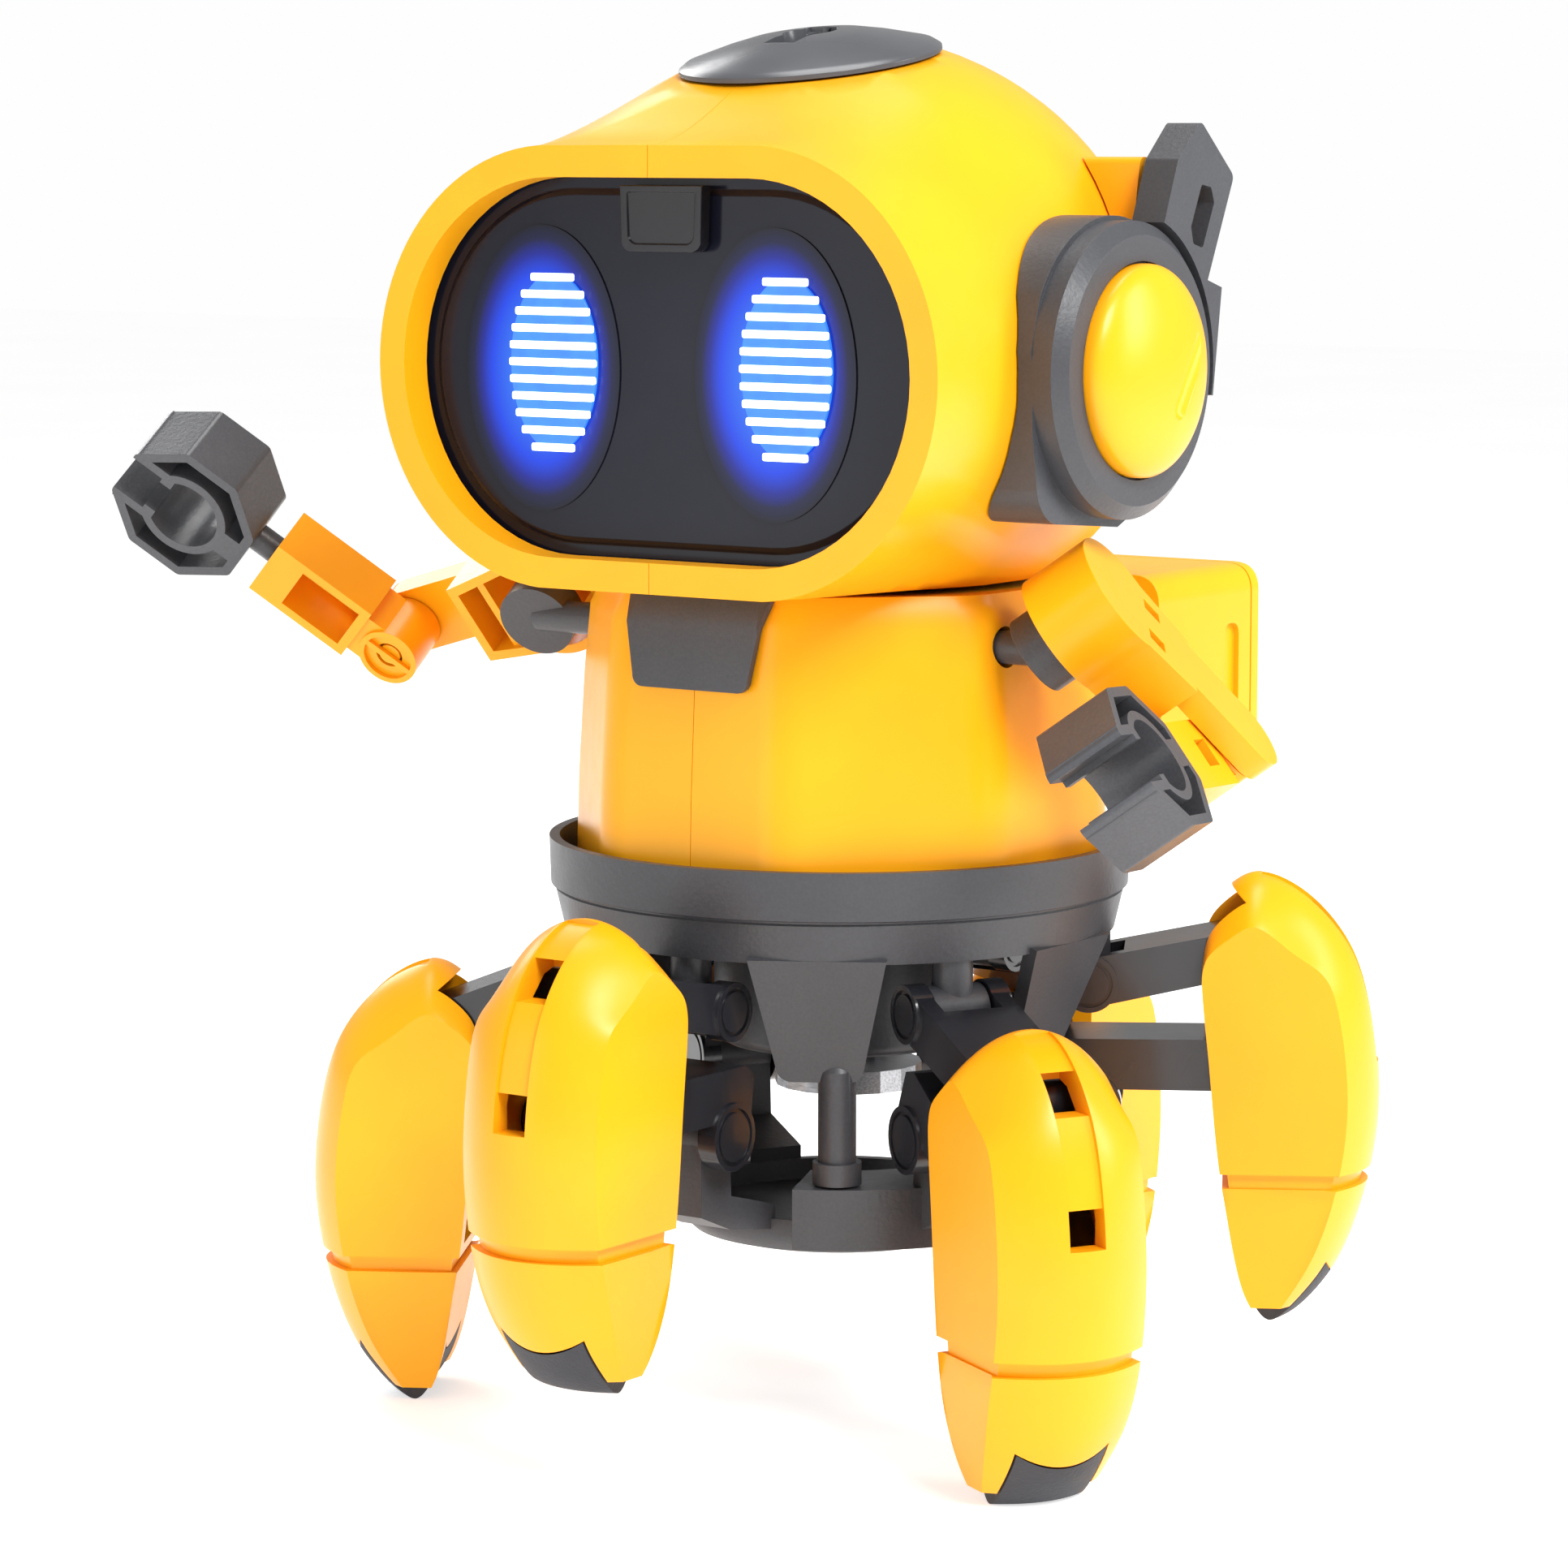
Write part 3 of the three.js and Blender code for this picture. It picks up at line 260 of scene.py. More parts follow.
def rounded(points, radius, steps=5):
    """An outline with its corners rounded, by one radius or by one for each corner."""
    out = []
    count = len(points)
    for k, point in enumerate(points):
        r = radius[k] if isinstance(radius, list) else radius
        p, a, b = Vector(point), Vector(points[k - 1]), Vector(points[(k + 1) % count])
        to_a, to_b = (a - p).normalized(), (b - p).normalized()
        half = to_a.angle(to_b) / 2
        if r <= 0 or half > radians(88):
            out.append(tuple(p))
            continue
        reach = min(r / math.tan(half), 0.45 * min((a - p).length, (b - p).length))
        start, stop = p + to_a * reach, p + to_b * reach
        for i in range(steps + 1):
            t = i / steps
            out.append(tuple(start * (1 - t) ** 2 + p * 2 * t * (1 - t) + stop * t * t))
    return out


def smooth_outline(knots, count):
    """A closed smooth curve through a few points."""
    curve = []
    n = len(knots)
    per = count // n
    for k in range(n):
        p0, p1, p2, p3 = (Vector(knots[(k + i - 1) % n]) for i in range(4))
        t0 = 0.0
        t1 = t0 + (p1 - p0).length ** 0.5
        t2 = t1 + (p2 - p1).length ** 0.5
        t3 = t2 + (p3 - p2).length ** 0.5
        for i in range(per):
            t = t1 + (t2 - t1) * i / per
            a1 = p0 * ((t1 - t) / (t1 - t0)) + p1 * ((t - t0) / (t1 - t0))
            a2 = p1 * ((t2 - t) / (t2 - t1)) + p2 * ((t - t1) / (t2 - t1))
            a3 = p2 * ((t3 - t) / (t3 - t2)) + p3 * ((t - t2) / (t3 - t2))
            b1 = a1 * ((t2 - t) / (t2 - t0)) + a2 * ((t - t0) / (t2 - t0))
            b2 = a2 * ((t3 - t) / (t3 - t1)) + a3 * ((t - t1) / (t3 - t1))
            curve.append(tuple(b1 * ((t2 - t) / (t2 - t1)) + b2 * ((t - t1) / (t2 - t1))))
    return curve


# ---------------------------------------------------------------- joining, cutting and placing
def temporary(mesh):
    obj = bpy.data.objects.new("temporary", mesh)
    bpy.context.scene.collection.objects.link(obj)
    return obj


def baked(obj):
    """The mesh of an object with its modifiers applied; the object goes."""
    depsgraph = bpy.context.evaluated_depsgraph_get()
    mesh = bpy.data.meshes.new_from_object(obj.evaluated_get(depsgraph))
    bpy.data.objects.remove(obj)
    return mesh


def combine(mesh, others, operation):
    """The mesh after a boolean with each of the others in turn."""
    for other in others:
        obj, tool = temporary(mesh), temporary(other)
        modifier = obj.modifiers.new("combine", "BOOLEAN")
        modifier.operation = operation
        modifier.solver = "MANIFOLD"
        modifier.object = tool
        result = baked(obj)
        bpy.data.objects.remove(tool)
        if len(result.polygons) == 0:
            raise ValueError("a boolean came out empty")
        mesh = result
    return mesh


def cut(mesh, *others):
    return combine(mesh, others, "DIFFERENCE")


def join(mesh, *others):
    return combine(mesh, others, "UNION")


def common(mesh, *others):
    return combine(mesh, others, "INTERSECT")


def tidy(mesh, flat=0.4):
    """Merges slivers and flat neighbours, so that edges can be rounded cleanly."""
    shape = bmesh.new()
    shape.from_mesh(mesh)
    bmesh.ops.remove_doubles(shape, verts=shape.verts, dist=0.015)
    bmesh.ops.dissolve_degenerate(shape, edges=shape.edges, dist=0.01)
    bmesh.ops.dissolve_limit(shape, angle_limit=radians(flat), verts=shape.verts, edges=shape.edges)
    clean = bpy.data.meshes.new(mesh.name)
    shape.to_mesh(clean)
    shape.free()
    return clean


def soften(mesh, width, angle=32, segments=3):
    """Rounds the sharp edges of a mesh by a small radius."""
    obj = temporary(tidy(mesh))
    modifier = obj.modifiers.new("edges", "BEVEL")
    modifier.width = width
    modifier.segments = segments
    modifier.limit_method = "ANGLE"
    modifier.angle_limit = radians(angle)
    modifier.use_clamp_overlap = True
    modifier.loop_slide = True
    modifier.miter_outer = "MITER_ARC"
    return baked(obj)


def put(name, mesh, material, body, replaces, at=None, smooth=32):
    """Makes a piece of a mesh in millimetres, places it, and lets it ride on its body."""
    mesh = mesh.copy()
    mesh.transform(ROBOT @ at if at is not None else ROBOT)
    mesh.materials.clear()
    mesh.materials.append(material)
    mesh.polygons.foreach_set("use_smooth", [True] * len(mesh.polygons))
    mesh.set_sharp_from_angle(angle=radians(smooth))
    mesh.update()
    obj = bpy.data.objects.new(name, mesh)
    bpy.context.scene.collection.objects.link(obj)
    normals = obj.modifiers.new("normals", "WEIGHTED_NORMAL")
    normals.keep_sharp = True
    normals.weight = 100
    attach(obj, body)
    if replaces:
        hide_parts(*replaces)


SEAM = 0.05  # half the gap that shows between two moulded halves


def half(mesh, side):
    """The part of a mesh on one side of the seam in the middle."""
    limits = (SEAM, FAR) if side > 0 else (-FAR, -SEAM)
    return common(mesh, block(limits, (-FAR, FAR), (-FAR, 2 * FAR)))


def outwards(side, inner, outer):
    """Limits along x that lie on the left (side 1) or on the right (side -1)."""
    return (inner, outer) if side > 0 else (-outer, -inner)


def smoothstep(t):
    t = min(max(t, 0.0), 1.0)
    return t * t * (3 - 2 * t)


# ---------------------------------------------------------------- legs
LINK_LENGTH, LINK_SPACING = 24.5, 16.5
HIP_RADIUS, HIP_Z = 34.0, 59.0
RAISED, LOWERED = 12.0, -20.0  # slopes of the links, in degrees
KNEE = (58.0, HIP_Z + LINK_LENGTH * math.sin(radians(LOWERED)))  # upper knee of a lowered leg
LEG_SPAN = (40, 80)  # from well behind a leg to well in front of it
LEG_HALF, LEG_MIDDLE = 10.5, 61.5
CROWN_DROP, FRONT_DROP = 6.0, 4.5  # how much further in the crown and the front are at the sides
NARROW_Z, NARROWING = 17.0, 2.9  # below this height each side draws in, by this much at the tip
LUG_HALF = 3.9
LINK_HALF = 7.0
LEGS = [("front", 0, RAISED), ("left_front", 60, LOWERED), ("left_rear", 120, RAISED),
        ("rear", 180, LOWERED), ("right_rear", 240, RAISED), ("right_front", 300, LOWERED)]
LEG_SIDE = [(49.2, 49), (50.2, 35.6), (52.3, 17.6), (56.2, 3.4), (60.5, 0), (66.6, 5.4),
            (71.4, 17.2), (73.1, 32), (69.6, 49.4), (62.6, 57.8), (56, 60), (50.8, 56)]
CAVITY = [(45, 62), (51, 60), (57, 55.2), (62, 53.5), (66, 49), (69.8, 38), (69.5, 22), (45, 22)]
CAVITY_HALF = 7.3
WINDOWS_Z, WINDOW = (53.3, 37.3), 5.0
STRIP_DEPTH = 0.6  # of the strip that joins the two windows
GROOVE_Z, GROOVE_SHRINK = 19.6, 0.9
BORE = 1.8  # radius of every hole for a link pin
FOOT_HALF, FOOT_EDGE, FOOT_DIP = 6.4, 8.0, 2.2


def azimuth_turn(azimuth):
    return Matrix.Rotation(radians(azimuth - 90), 4, "Z")


def leg_point(x, z, v, shrink):
    """A point of the side outline, at v from -1 to 1 across the leg."""
    width = LEG_HALF - NARROWING * (max(NARROW_Z - z, 0) / NARROW_Z) ** 2
    front = FRONT_DROP * smoothstep((x - 52) / 16)
    top = CROWN_DROP * smoothstep((z - 44) / 16)
    across = LEG_MIDDLE + (x - front * v * v - LEG_MIDDLE) * shrink
    return (across, v * width * shrink, z - top * v * v)


def leg_form(shrink=1.0):
    """Flat sides, and a front and crown that bulge between them."""
    outline = smooth_outline(LEG_SIDE, 144)
    steps = 28
    return loft([[leg_point(x, z, 2 * k / steps - 1, shrink) for x, z in outline]
                 for k in range(steps + 1)])


def foot_outline(half_width, lift):
    """The rubber foot from in front; its upper edge dips in the middle."""
    steps = 16
    edge = []
    for k in range(steps + 1):
        v = 1 - 2 * k / steps
        edge.append((half_width * v, FOOT_EDGE + lift - FOOT_DIP * (1 - v * v)))
    return [(-half_width, -2), (half_width, -2)] + edge


def leg_shell(form):
    """The hollow shell, with its groove, its two windows and the strip between them."""
    shell = cut(form, prism("xz", CAVITY, (-CAVITY_HALF, CAVITY_HALF)))
    groove = cut(block(LEG_SPAN, (-12, 12), (GROOVE_Z - 1, GROOVE_Z + 1)), leg_form(GROOVE_SHRINK))
    across = (-WINDOW / 2, WINDOW / 2)
    below = [(x - STRIP_DEPTH, z - STRIP_DEPTH) for x, z in smooth_outline(LEG_SIDE, 144)]
    strip = cut(block((57, 80), across, (WINDOWS_Z[1] - WINDOW / 2, 70)), prism("xz", below, (-4, 4)))
    shell = cut(shell, groove, strip)
    for z in WINDOWS_Z:
        shell = cut(shell, block((60, 80), across, (z - WINDOW / 2, z + WINDOW / 2)))
    for drop in (0, LINK_SPACING):
        shell = cut(shell, rod("y", BORE, (-9.3, 9.3), (KNEE[0], 0, KNEE[1] - drop), 24))
    shell = cut(shell, prism("yz", foot_outline(FOOT_HALF + GAP, GAP), LEG_SPAN))
    return cut(shell, block(LEG_SPAN, (-12, 12), (-2, 2)))


def make_legs():
    form = leg_form()
    shell = soften(leg_shell(form), 0.35)
    foot = soften(common(form, prism("yz", foot_outline(FOOT_HALF, 0), LEG_SPAN)), 0.3)
    for name, azimuth, angle in LEGS:
        knee_x = HIP_RADIUS + LINK_LENGTH * math.cos(radians(angle))
        knee_z = HIP_Z + LINK_LENGTH * math.sin(radians(angle))
        place = azimuth_turn(azimuth) @ Matrix.Translation((knee_x - KNEE[0], 0, knee_z - KNEE[1]))
        put(name + "_leg", shell, yellow, name + "_leg", [name + "_leg_shell"], place)
        put(name + "_foot", foot, rubber, name + "_leg", [name + "_foot_pad"], place)


# ---------------------------------------------------------------- links
UPPER_LINK = [(0, -3.3), (LINK_LENGTH, -3), (LINK_LENGTH, 3), (0, 3.3)]
LOWER_LINK = [(-3.8, 0), (-2.8, -3.4), (3.2, -3.2), (4.4, 1.3), (16.1, -1.2), (LINK_LENGTH, -3.2),
              (LINK_LENGTH, 3.2), (17.5, 5.6), (-1, 9.4), (-3.2, 8.4)]
UPPER_HUB, LOWER_HUB, KNEE_HUB = 3.9, 4.5, 3.2
PIN = 1.3
RIM, RIM_GROOVE = 0.7, 0.55  # the raised rim of a hub disc and the groove inside it


def link(outline, hub, slot_top):
    """A link with its hub discs; each disc has a turned rim."""
    knee = (LINK_LENGTH, 0, 0)
    body = join(prism("xz", outline, (0.4 - LINK_HALF, LINK_HALF - 0.4)),
                rod("y", hub, (-LINK_HALF, LINK_HALF), sides=64),
                rod("y", KNEE_HUB, (-LINK_HALF, LINK_HALF), knee))
    body = cut(body, block((-8, 5.4), (-LUG_HALF - GAP, LUG_HALF + GAP), (-10, slot_top)))
    for side in (-1, 1):
        limits = outwards(side, LINK_HALF - 0.35, LINK_HALF + 1)
        groove = cut(rod("y", hub - RIM, limits), rod("y", hub - RIM - RIM_GROOVE, outwards(side, 0, 20)))
        body = cut(body, groove)
    body = soften(body, 0.22)
    return join(body, rod("y", PIN, (-LUG_HALF - 1, LUG_HALF + 1), sides=24),
                rod("y", PIN, (-8.9, 8.9), knee, sides=24))


def make_links():
    upper, lower = link(UPPER_LINK, UPPER_HUB, 10), link(LOWER_LINK, LOWER_HUB, 4.7)
    for name, azimuth, angle in LEGS:
        slope = Matrix.Rotation(radians(-angle), 4, "Y")
        for kind, mesh, z in (("upper", upper, HIP_Z), ("lower", lower, HIP_Z - LINK_SPACING)):
            place = azimuth_turn(azimuth) @ Matrix.Translation((HIP_RADIUS, 0, z)) @ slope
            put(f"{name}_{kind}_link_arm", mesh, black, f"{name}_{kind}_link_arm",
                [f"{name}_{kind}_link"], place)


# ---------------------------------------------------------------- chassis
RING_TOP, RING_FLOOR, RING_BOTTOM = 78.2, 72.0, 66.0
TABS = (30, 90, 150, 210, 270, 330)
POSTS = (34, 154, 274)
POST_RADIUS, COLLAR_RADIUS = 2.5, 3.2
RING_BORE, BARREL_RADIUS = 8.6, 3.5
TAB_LEAN = 20.0  # degrees
DISH_RADIUS, DISH_BOTTOM, BLOCK_TOP = 22.0, 24.0, 35.8
LOWER_HIP_Z = HIP_Z - LINK_SPACING


def around(azimuths, mesh):
    """Copies of a mesh drawn along x, one turned to each azimuth."""
    out = []
    for azimuth in azimuths:
        copy = mesh.copy()
        copy.transform(azimuth_turn(azimuth))
        out.append(copy)
    return out


def chassis_frame():
    """The ring, with its tabs, posts and upper hip hinges."""
    ring = lathe([(RING_BORE, 70), (34.4, 70), (35.2, RING_BOTTOM), (37.2, RING_BOTTOM), (38.4, 71.2),
                  (38.2, 71.45), (38.3, 71.7), (39, 71.9), (39.2, RING_TOP), (37.8, RING_TOP),
                  (37.4, RING_FLOOR), (RING_BORE, RING_FLOOR)], 144)
    outline = [(-9, 18)] + arc(-3.7, 2, 2, 190, 270, 8) + arc(3.7, 2, 2, 270, 350, 8) + [(9, 18)]
    lean = Matrix.Translation((31.2, 0, 49.6)) @ Matrix.Rotation(radians(TAB_LEAN), 4, "Y")
    tab = prism("yz", outline, (-2, 0), lean)
    boss = rod("z", 2.7, (HIP_Z, 71), (HIP_RADIUS, 0, 0))
    barrel = rod("y", BARREL_RADIUS, (-LUG_HALF, LUG_HALF), (HIP_RADIUS, 0, HIP_Z))
    foot = (30, 0, 0)
    post = rod("z", POST_RADIUS, (BLOCK_TOP + GAP, 51), foot)
    tip = rod("z", POST_RADIUS, (51, 54), foot, end=0.6)
    collar = rod("z", COLLAR_RADIUS, (BLOCK_TOP + GAP, 39), foot)
    azimuths = [leg[1] for leg in LEGS]
    body = join(ring, *around(TABS, tab), *around(azimuths, boss), *around(azimuths, barrel),
                *around(POSTS, post), *around(POSTS, tip), *around(POSTS, collar))
    bore_tool = rod("y", BORE, (-6, 6), (HIP_RADIUS, 0, HIP_Z), 24)
    return soften(cut(body, *around(azimuths, bore_tool)), 0.3)


def dish():
    """The dish, with six arms to the lower hip hinges and a step under each post."""
    body = lathe([(0, DISH_BOTTOM), (17.5, DISH_BOTTOM), (20, 24.7), (21.4, 26.0), (DISH_RADIUS, 27.2),
                  (DISH_RADIUS, 29.2), (20.4, 29.2), (20, 26.4), (0, 26.4)], 128)
    arm = prism("xz", [(20.6, 27.6), (31, 29.4), (37.3, 32), (37.3, LOWER_HIP_Z), (31, LOWER_HIP_Z),
                       (30.6, BLOCK_TOP - 2), (20.6, 31)], (-LUG_HALF, LUG_HALF))
    barrel = rod("y", BARREL_RADIUS, (-LUG_HALF, LUG_HALF), (HIP_RADIUS, 0, LOWER_HIP_Z))
    outline = arc(0, 0, 33.4, -10, 34, 24) + arc(0, 0, 20.6, 34, -10, 20)
    step = prism("xy", outline, (27.8, BLOCK_TOP))
    azimuths = [leg[1] for leg in LEGS]
    body = join(body, *around(azimuths, arm), *around(azimuths, barrel), *around(POSTS, step))
    bore_tool = rod("y", BORE, (-6, 6), (HIP_RADIUS, 0, LOWER_HIP_Z), 24)
    return soften(cut(body, *around(azimuths, bore_tool)), 0.3)


def make_chassis():
    put("chassis_ring", chassis_frame(), grey, "chassis", ["leg_frame"])
    put("chassis_dish", dish(), grey, "chassis", ["base_dish"])
    case = lathe([(3, 50), (15.5, 50), (16.4, 50.5), (17, 51.5), (17, 69.7), (15.2, 69.7),
                  (15.2, 51.8), (3, 51.8)], 72)
    put("gear_case", soften(case, 0.3), grey, "chassis", ["walk_gear_case"])


# ---------------------------------------------------------------- torso and battery pack
# heights of the torso and how far its eight flat sides are from the middle there
APOTHEMS = [(74.6, 34.3), (86, 34), (100, 33.2), (109, 32.4), (112.8, 30.6)]
TORSO_CORNER = 9.0
TORSO_BOTTOM, TORSO_TOP = APOTHEMS[0][0], APOTHEMS[-1][0]
TORSO_WALL, BADGE_STANDS = 2.0, 1.4
SHOULDER_HOLE = 2.7
SHOULDER_Y, SHOULDER_Z = -9.5, 106.0


def torso_ring(apothem, z):
    ring = []
    for side in range(8):
        corner = side * 45 + 22.5
        reach = (apothem - TORSO_CORNER) / math.cos(radians(22.5))
        centre = (reach * math.cos(radians(corner)), reach * math.sin(radians(corner)))
        ring += [(x, y, z) for x, y in arc(*centre, TORSO_CORNER, corner - 22.5, corner + 22.5, 10)]
    return ring


def torso_form(offset, bottom=TORSO_BOTTOM, top=TORSO_TOP):
    levels = [[z, apothem + offset] for z, apothem in APOTHEMS]
    levels[0][0], levels[-1][0] = bottom, top
    return loft([torso_ring(apothem, z) for z, apothem in levels])


def make_torso():
    slit = block((3, 15), (-40, -28), (TORSO_BOTTOM + 0.4, TORSO_BOTTOM + 1.4))
    shell = cut(torso_form(0), torso_form(-TORSO_WALL, TORSO_BOTTOM - 1, TORSO_TOP - 2),
                rod("z", 10, (100, 120)),
                rod("x", SHOULDER_HOLE, (-FAR, FAR), (0, SHOULDER_Y, SHOULDER_Z)), slit)
    for side, name in ((1, "left"), (-1, "right")):
        put(f"torso_{name}", soften(half(shell, side), 0.3), yellow, "upper_body",
            [f"torso_{name}_shell"])
    outline = arc(-7.6, 102.2, 1.6, 180, 270, 8) + arc(7.6, 102.2, 1.6, 270, 360, 8)
    plate = prism("xz", outline + [(11.2, 112.4), (-11.2, 112.4)], (-50, -20))
    plate = cut(common(plate, torso_form(BADGE_STANDS)), torso_form(GAP))
    put("chest_badge", soften(plate, 0.45), grey, "upper_body", ["chest_plate"])


PACK_HALF, PACK_BOTTOM, PACK_TOP, PACK_CORNER = 30, 82, 112, 4
PACK_REAR, COVER_REAR = 58.2, 60.4
PACK_WALL, LID_SCREW_Z = 2, 87.5


def pack_section(inset):
    side, low, high = PACK_HALF - inset, PACK_BOTTOM + inset, PACK_TOP - inset
    return rounded([(-side, low), (side, low), (side, high), (-side, high)], PACK_CORNER - inset, 8)


def pack_case():
    side_view = [(34.6, PACK_BOTTOM), (PACK_REAR, PACK_BOTTOM), (PACK_REAR, PACK_TOP), (33, PACK_TOP)]
    form = common(prism("yz", side_view, (-PACK_HALF, PACK_HALF)), prism("xz", pack_section(0), (20, 80)))
    switch_slot = block((-5.2, 5.2), (44, 48), (110.7, 113))
    form = cut(form, prism("xz", pack_section(PACK_WALL), (36.6, 80)), switch_slot)
    slot = rounded([(51, 90), (55, 90), (55, 104), (51, 104)], 1.99, 8)
    for side in (-1, 1):
        form = cut(form, prism("yz", slot, outwards(side, 29.1, 40)))
    return soften(form, 0.5)


def pack_cover():
    """The lid, with a rim that goes into the case, four shallow slots and a screw well."""
    cover = join(prism("xz", pack_section(0), (PACK_REAR + GAP, COVER_REAR)),
                 prism("xz", pack_section(PACK_WALL + GAP), (PACK_REAR - 2, PACK_REAR + 1)))
    cover = cut(cover, prism("xz", pack_section(3.8), (PACK_REAR - 3, PACK_REAR + GAP)))
    for k in range(4):
        z = 100.5 + 2.2 * k
        outline = rounded([(-6, z), (6, z), (6, z + 1), (-6, z + 1)], 0.49, 4)
        cover = cut(cover, prism("xz", outline, (COVER_REAR - 0.5, COVER_REAR + 1)))
    well = rod("y", 2.4, (COVER_REAR - 0.9, COVER_REAR + 1), (0, 0, LID_SCREW_Z))
    return soften(cut(cover, well), 0.4)


def lid_screw():
    """A cross-head screw."""
    head = join(rod("y", 1.9, (COVER_REAR - 0.88, COVER_REAR - 0.3), (0, 0, LID_SCREW_Z)),
                rod("y", 1.5, (COVER_REAR - 0.32, COVER_REAR - 0.12), (0, 0, LID_SCREW_Z)))
    for u, v in ((1.1, 0.25), (0.25, 1.1)):
        head = cut(head, block((-u, u), (COVER_REAR - 0.6, COVER_REAR), (LID_SCREW_Z - v, LID_SCREW_Z + v)))
    return head


def make_pack():
    put("battery_case", pack_case(), yellow, "upper_body", ["battery_box"])
    put("battery_lid", pack_cover(), yellow, "upper_body", ["battery_cover"])
    put("battery_lid_screw", lid_screw(), steel, "upper_body", ())


# ---------------------------------------------------------------- head
HEAD_Z, HEAD_RADIUS = 142.0, 43.5
VISOR_Y, VISOR_HALF_W, VISOR_HALF_H, VISOR_RIM = -43.0, 44.0, 28.5, 4.1
SCREEN_Y, SWEEP_END = -38.0, -15.0
HEAD_WALL, NECK_RADIUS, NECK_CUT_Z = 2.2, 28.5, 113.6
TOP_SCALE, BOTTOM_SCALE = 0.99, 0.86  # the ball of the head is a little flattened
CAP_DISTANCE, CAP_TILT, CAP_RADIUS = 39.6, 10.0, 17.4
EAR_Y, EAR_Z, EAR_RADIUS, EAR_FACE, EAR_DOME = -6.0, 142.0, 19.0, 50.5, 13.6
EAR_BEVEL = 1.6


def round_height(y):
    return math.sqrt(max(HEAD_RADIUS ** 2 - y ** 2, 0))


def head_top(y):
    if y >= SWEEP_END:
        return TOP_SCALE * round_height(y)
    t = (y - VISOR_Y) / (SWEEP_END - VISOR_Y)
    end = TOP_SCALE * round_height(SWEEP_END)
    return VISOR_HALF_H + (end - VISOR_HALF_H) * t * t * (2 - t)


def head_bottom(y):
    if y >= 0:
        return BOTTOM_SCALE * round_height(y)
    t = smoothstep((y - VISOR_Y) / -VISOR_Y)
    return VISOR_HALF_H + (BOTTOM_SCALE * HEAD_RADIUS - VISOR_HALF_H) * t


def head_half_width(y):
    if y <= 0:
        return VISOR_HALF_W + (HEAD_RADIUS - VISOR_HALF_W) * smoothstep(1 - y / VISOR_Y)
    return round_height(y)


def head_ring(y, offset, quarter=24):
    """One section of the head: a stadium at the visor that turns into a circle."""
    width = head_half_width(y) + offset
    flat = (VISOR_HALF_W - VISOR_HALF_H) * (1 - smoothstep((y - VISOR_Y) / (SWEEP_END - VISOR_Y)))
    ring = []
    for k in range(4 * quarter):
        angle = math.pi / 2 * k / quarter
        height = (head_top(y) if math.sin(angle) >= 0 else head_bottom(y)) + offset
        across = math.cos(angle)
        middle = 0 if abs(across) < 1e-6 else math.copysign(flat, across)
        ring.append((middle + (width - flat) * across, y, HEAD_Z + height * math.sin(angle)))
    return ring


def head_form(offset, front):
    """The whole head from a front plane to its back, made larger or smaller by an offset."""
    last = HEAD_RADIUS - 0.02
    stations = [front] + [y for y in [VISOR_Y + 1.5 * k for k in range(1, 30)] if y > front + 0.5]
    start = stations[-1]
    first_angle = math.acos(start / HEAD_RADIUS)
    stations += [HEAD_RADIUS * math.cos(first_angle * (1 - k / 28)) for k in range(1, 28)] + [last]
    return loft([head_ring(y, offset) for y in stations if y < HEAD_RADIUS + offset - 0.01])


def visor_outline(inset, steps=32):
    flat, radius = VISOR_HALF_W - VISOR_HALF_H, VISOR_HALF_H - inset
    return arc(flat, HEAD_Z, radius, -90, 90, steps) + arc(-flat, HEAD_Z, radius, 90, 270, steps)


def cap_place():
    return Matrix.Translation((0, 0, HEAD_Z)) @ Matrix.Rotation(radians(CAP_TILT), 4, "X")


def make_head():
    shell = cut(head_form(0, VISOR_Y), head_form(-HEAD_WALL, SCREEN_Y - GAP),
                prism("xz", visor_outline(VISOR_RIM), (VISOR_Y - 5, SCREEN_Y + 1)),
                block((-FAR, FAR), (-FAR, FAR), (0, NECK_CUT_Z)),
                rod("z", NECK_RADIUS, (90, 119), sides=96),
                rod("z", 60, (CAP_DISTANCE, CAP_DISTANCE + 60), at=cap_place()))
    for side in (-1, 1):
        shell = cut(shell, rod("x", 4, outwards(side, 30, 60), (0, EAR_Y, EAR_Z)))
    for side, name in ((1, "left"), (-1, "right")):
        put(f"head_{name}", soften(half(shell, side), 0.45), yellow, "upper_body",
            [f"head_{name}_shell"], smooth=40)


def make_face():
    """The screen, whose edge is bevelled, and the small dark window at its top."""
    levels = ((SCREEN_Y + 1.8, 2.6), (SCREEN_Y + 0.5, 2.6), (SCREEN_Y + 0.5, 5.6), (SCREEN_Y, 6.4))
    lens = loft([[(x, y, z) for x, z in visor_outline(inset)] for y, inset in levels])
    put("face_lens", soften(lens, 0.12), screen, "upper_body", ["face_screen"])
    top = HEAD_Z + VISOR_HALF_H - VISOR_RIM - 1
    outline = arc(-4.7, top - 6.8, 1.6, 190, 270, 8) + arc(4.7, top - 6.8, 1.6, 270, 350, 8)
    outline += [(6.5, top), (-6.5, top)]
    back = SCREEN_Y - GAP
    middle = top - 3.9
    inner = [(x * 0.82, middle + (z - middle) * 0.78) for x, z in outline]
    sensor = cut(prism("xz", outline, (back - 2, back)), prism("xz", inner, (back - 3, back - 1.7)))
    put("face_window", soften(sensor, 0.35), dark_lens, "upper_body", ["face_sensor"])


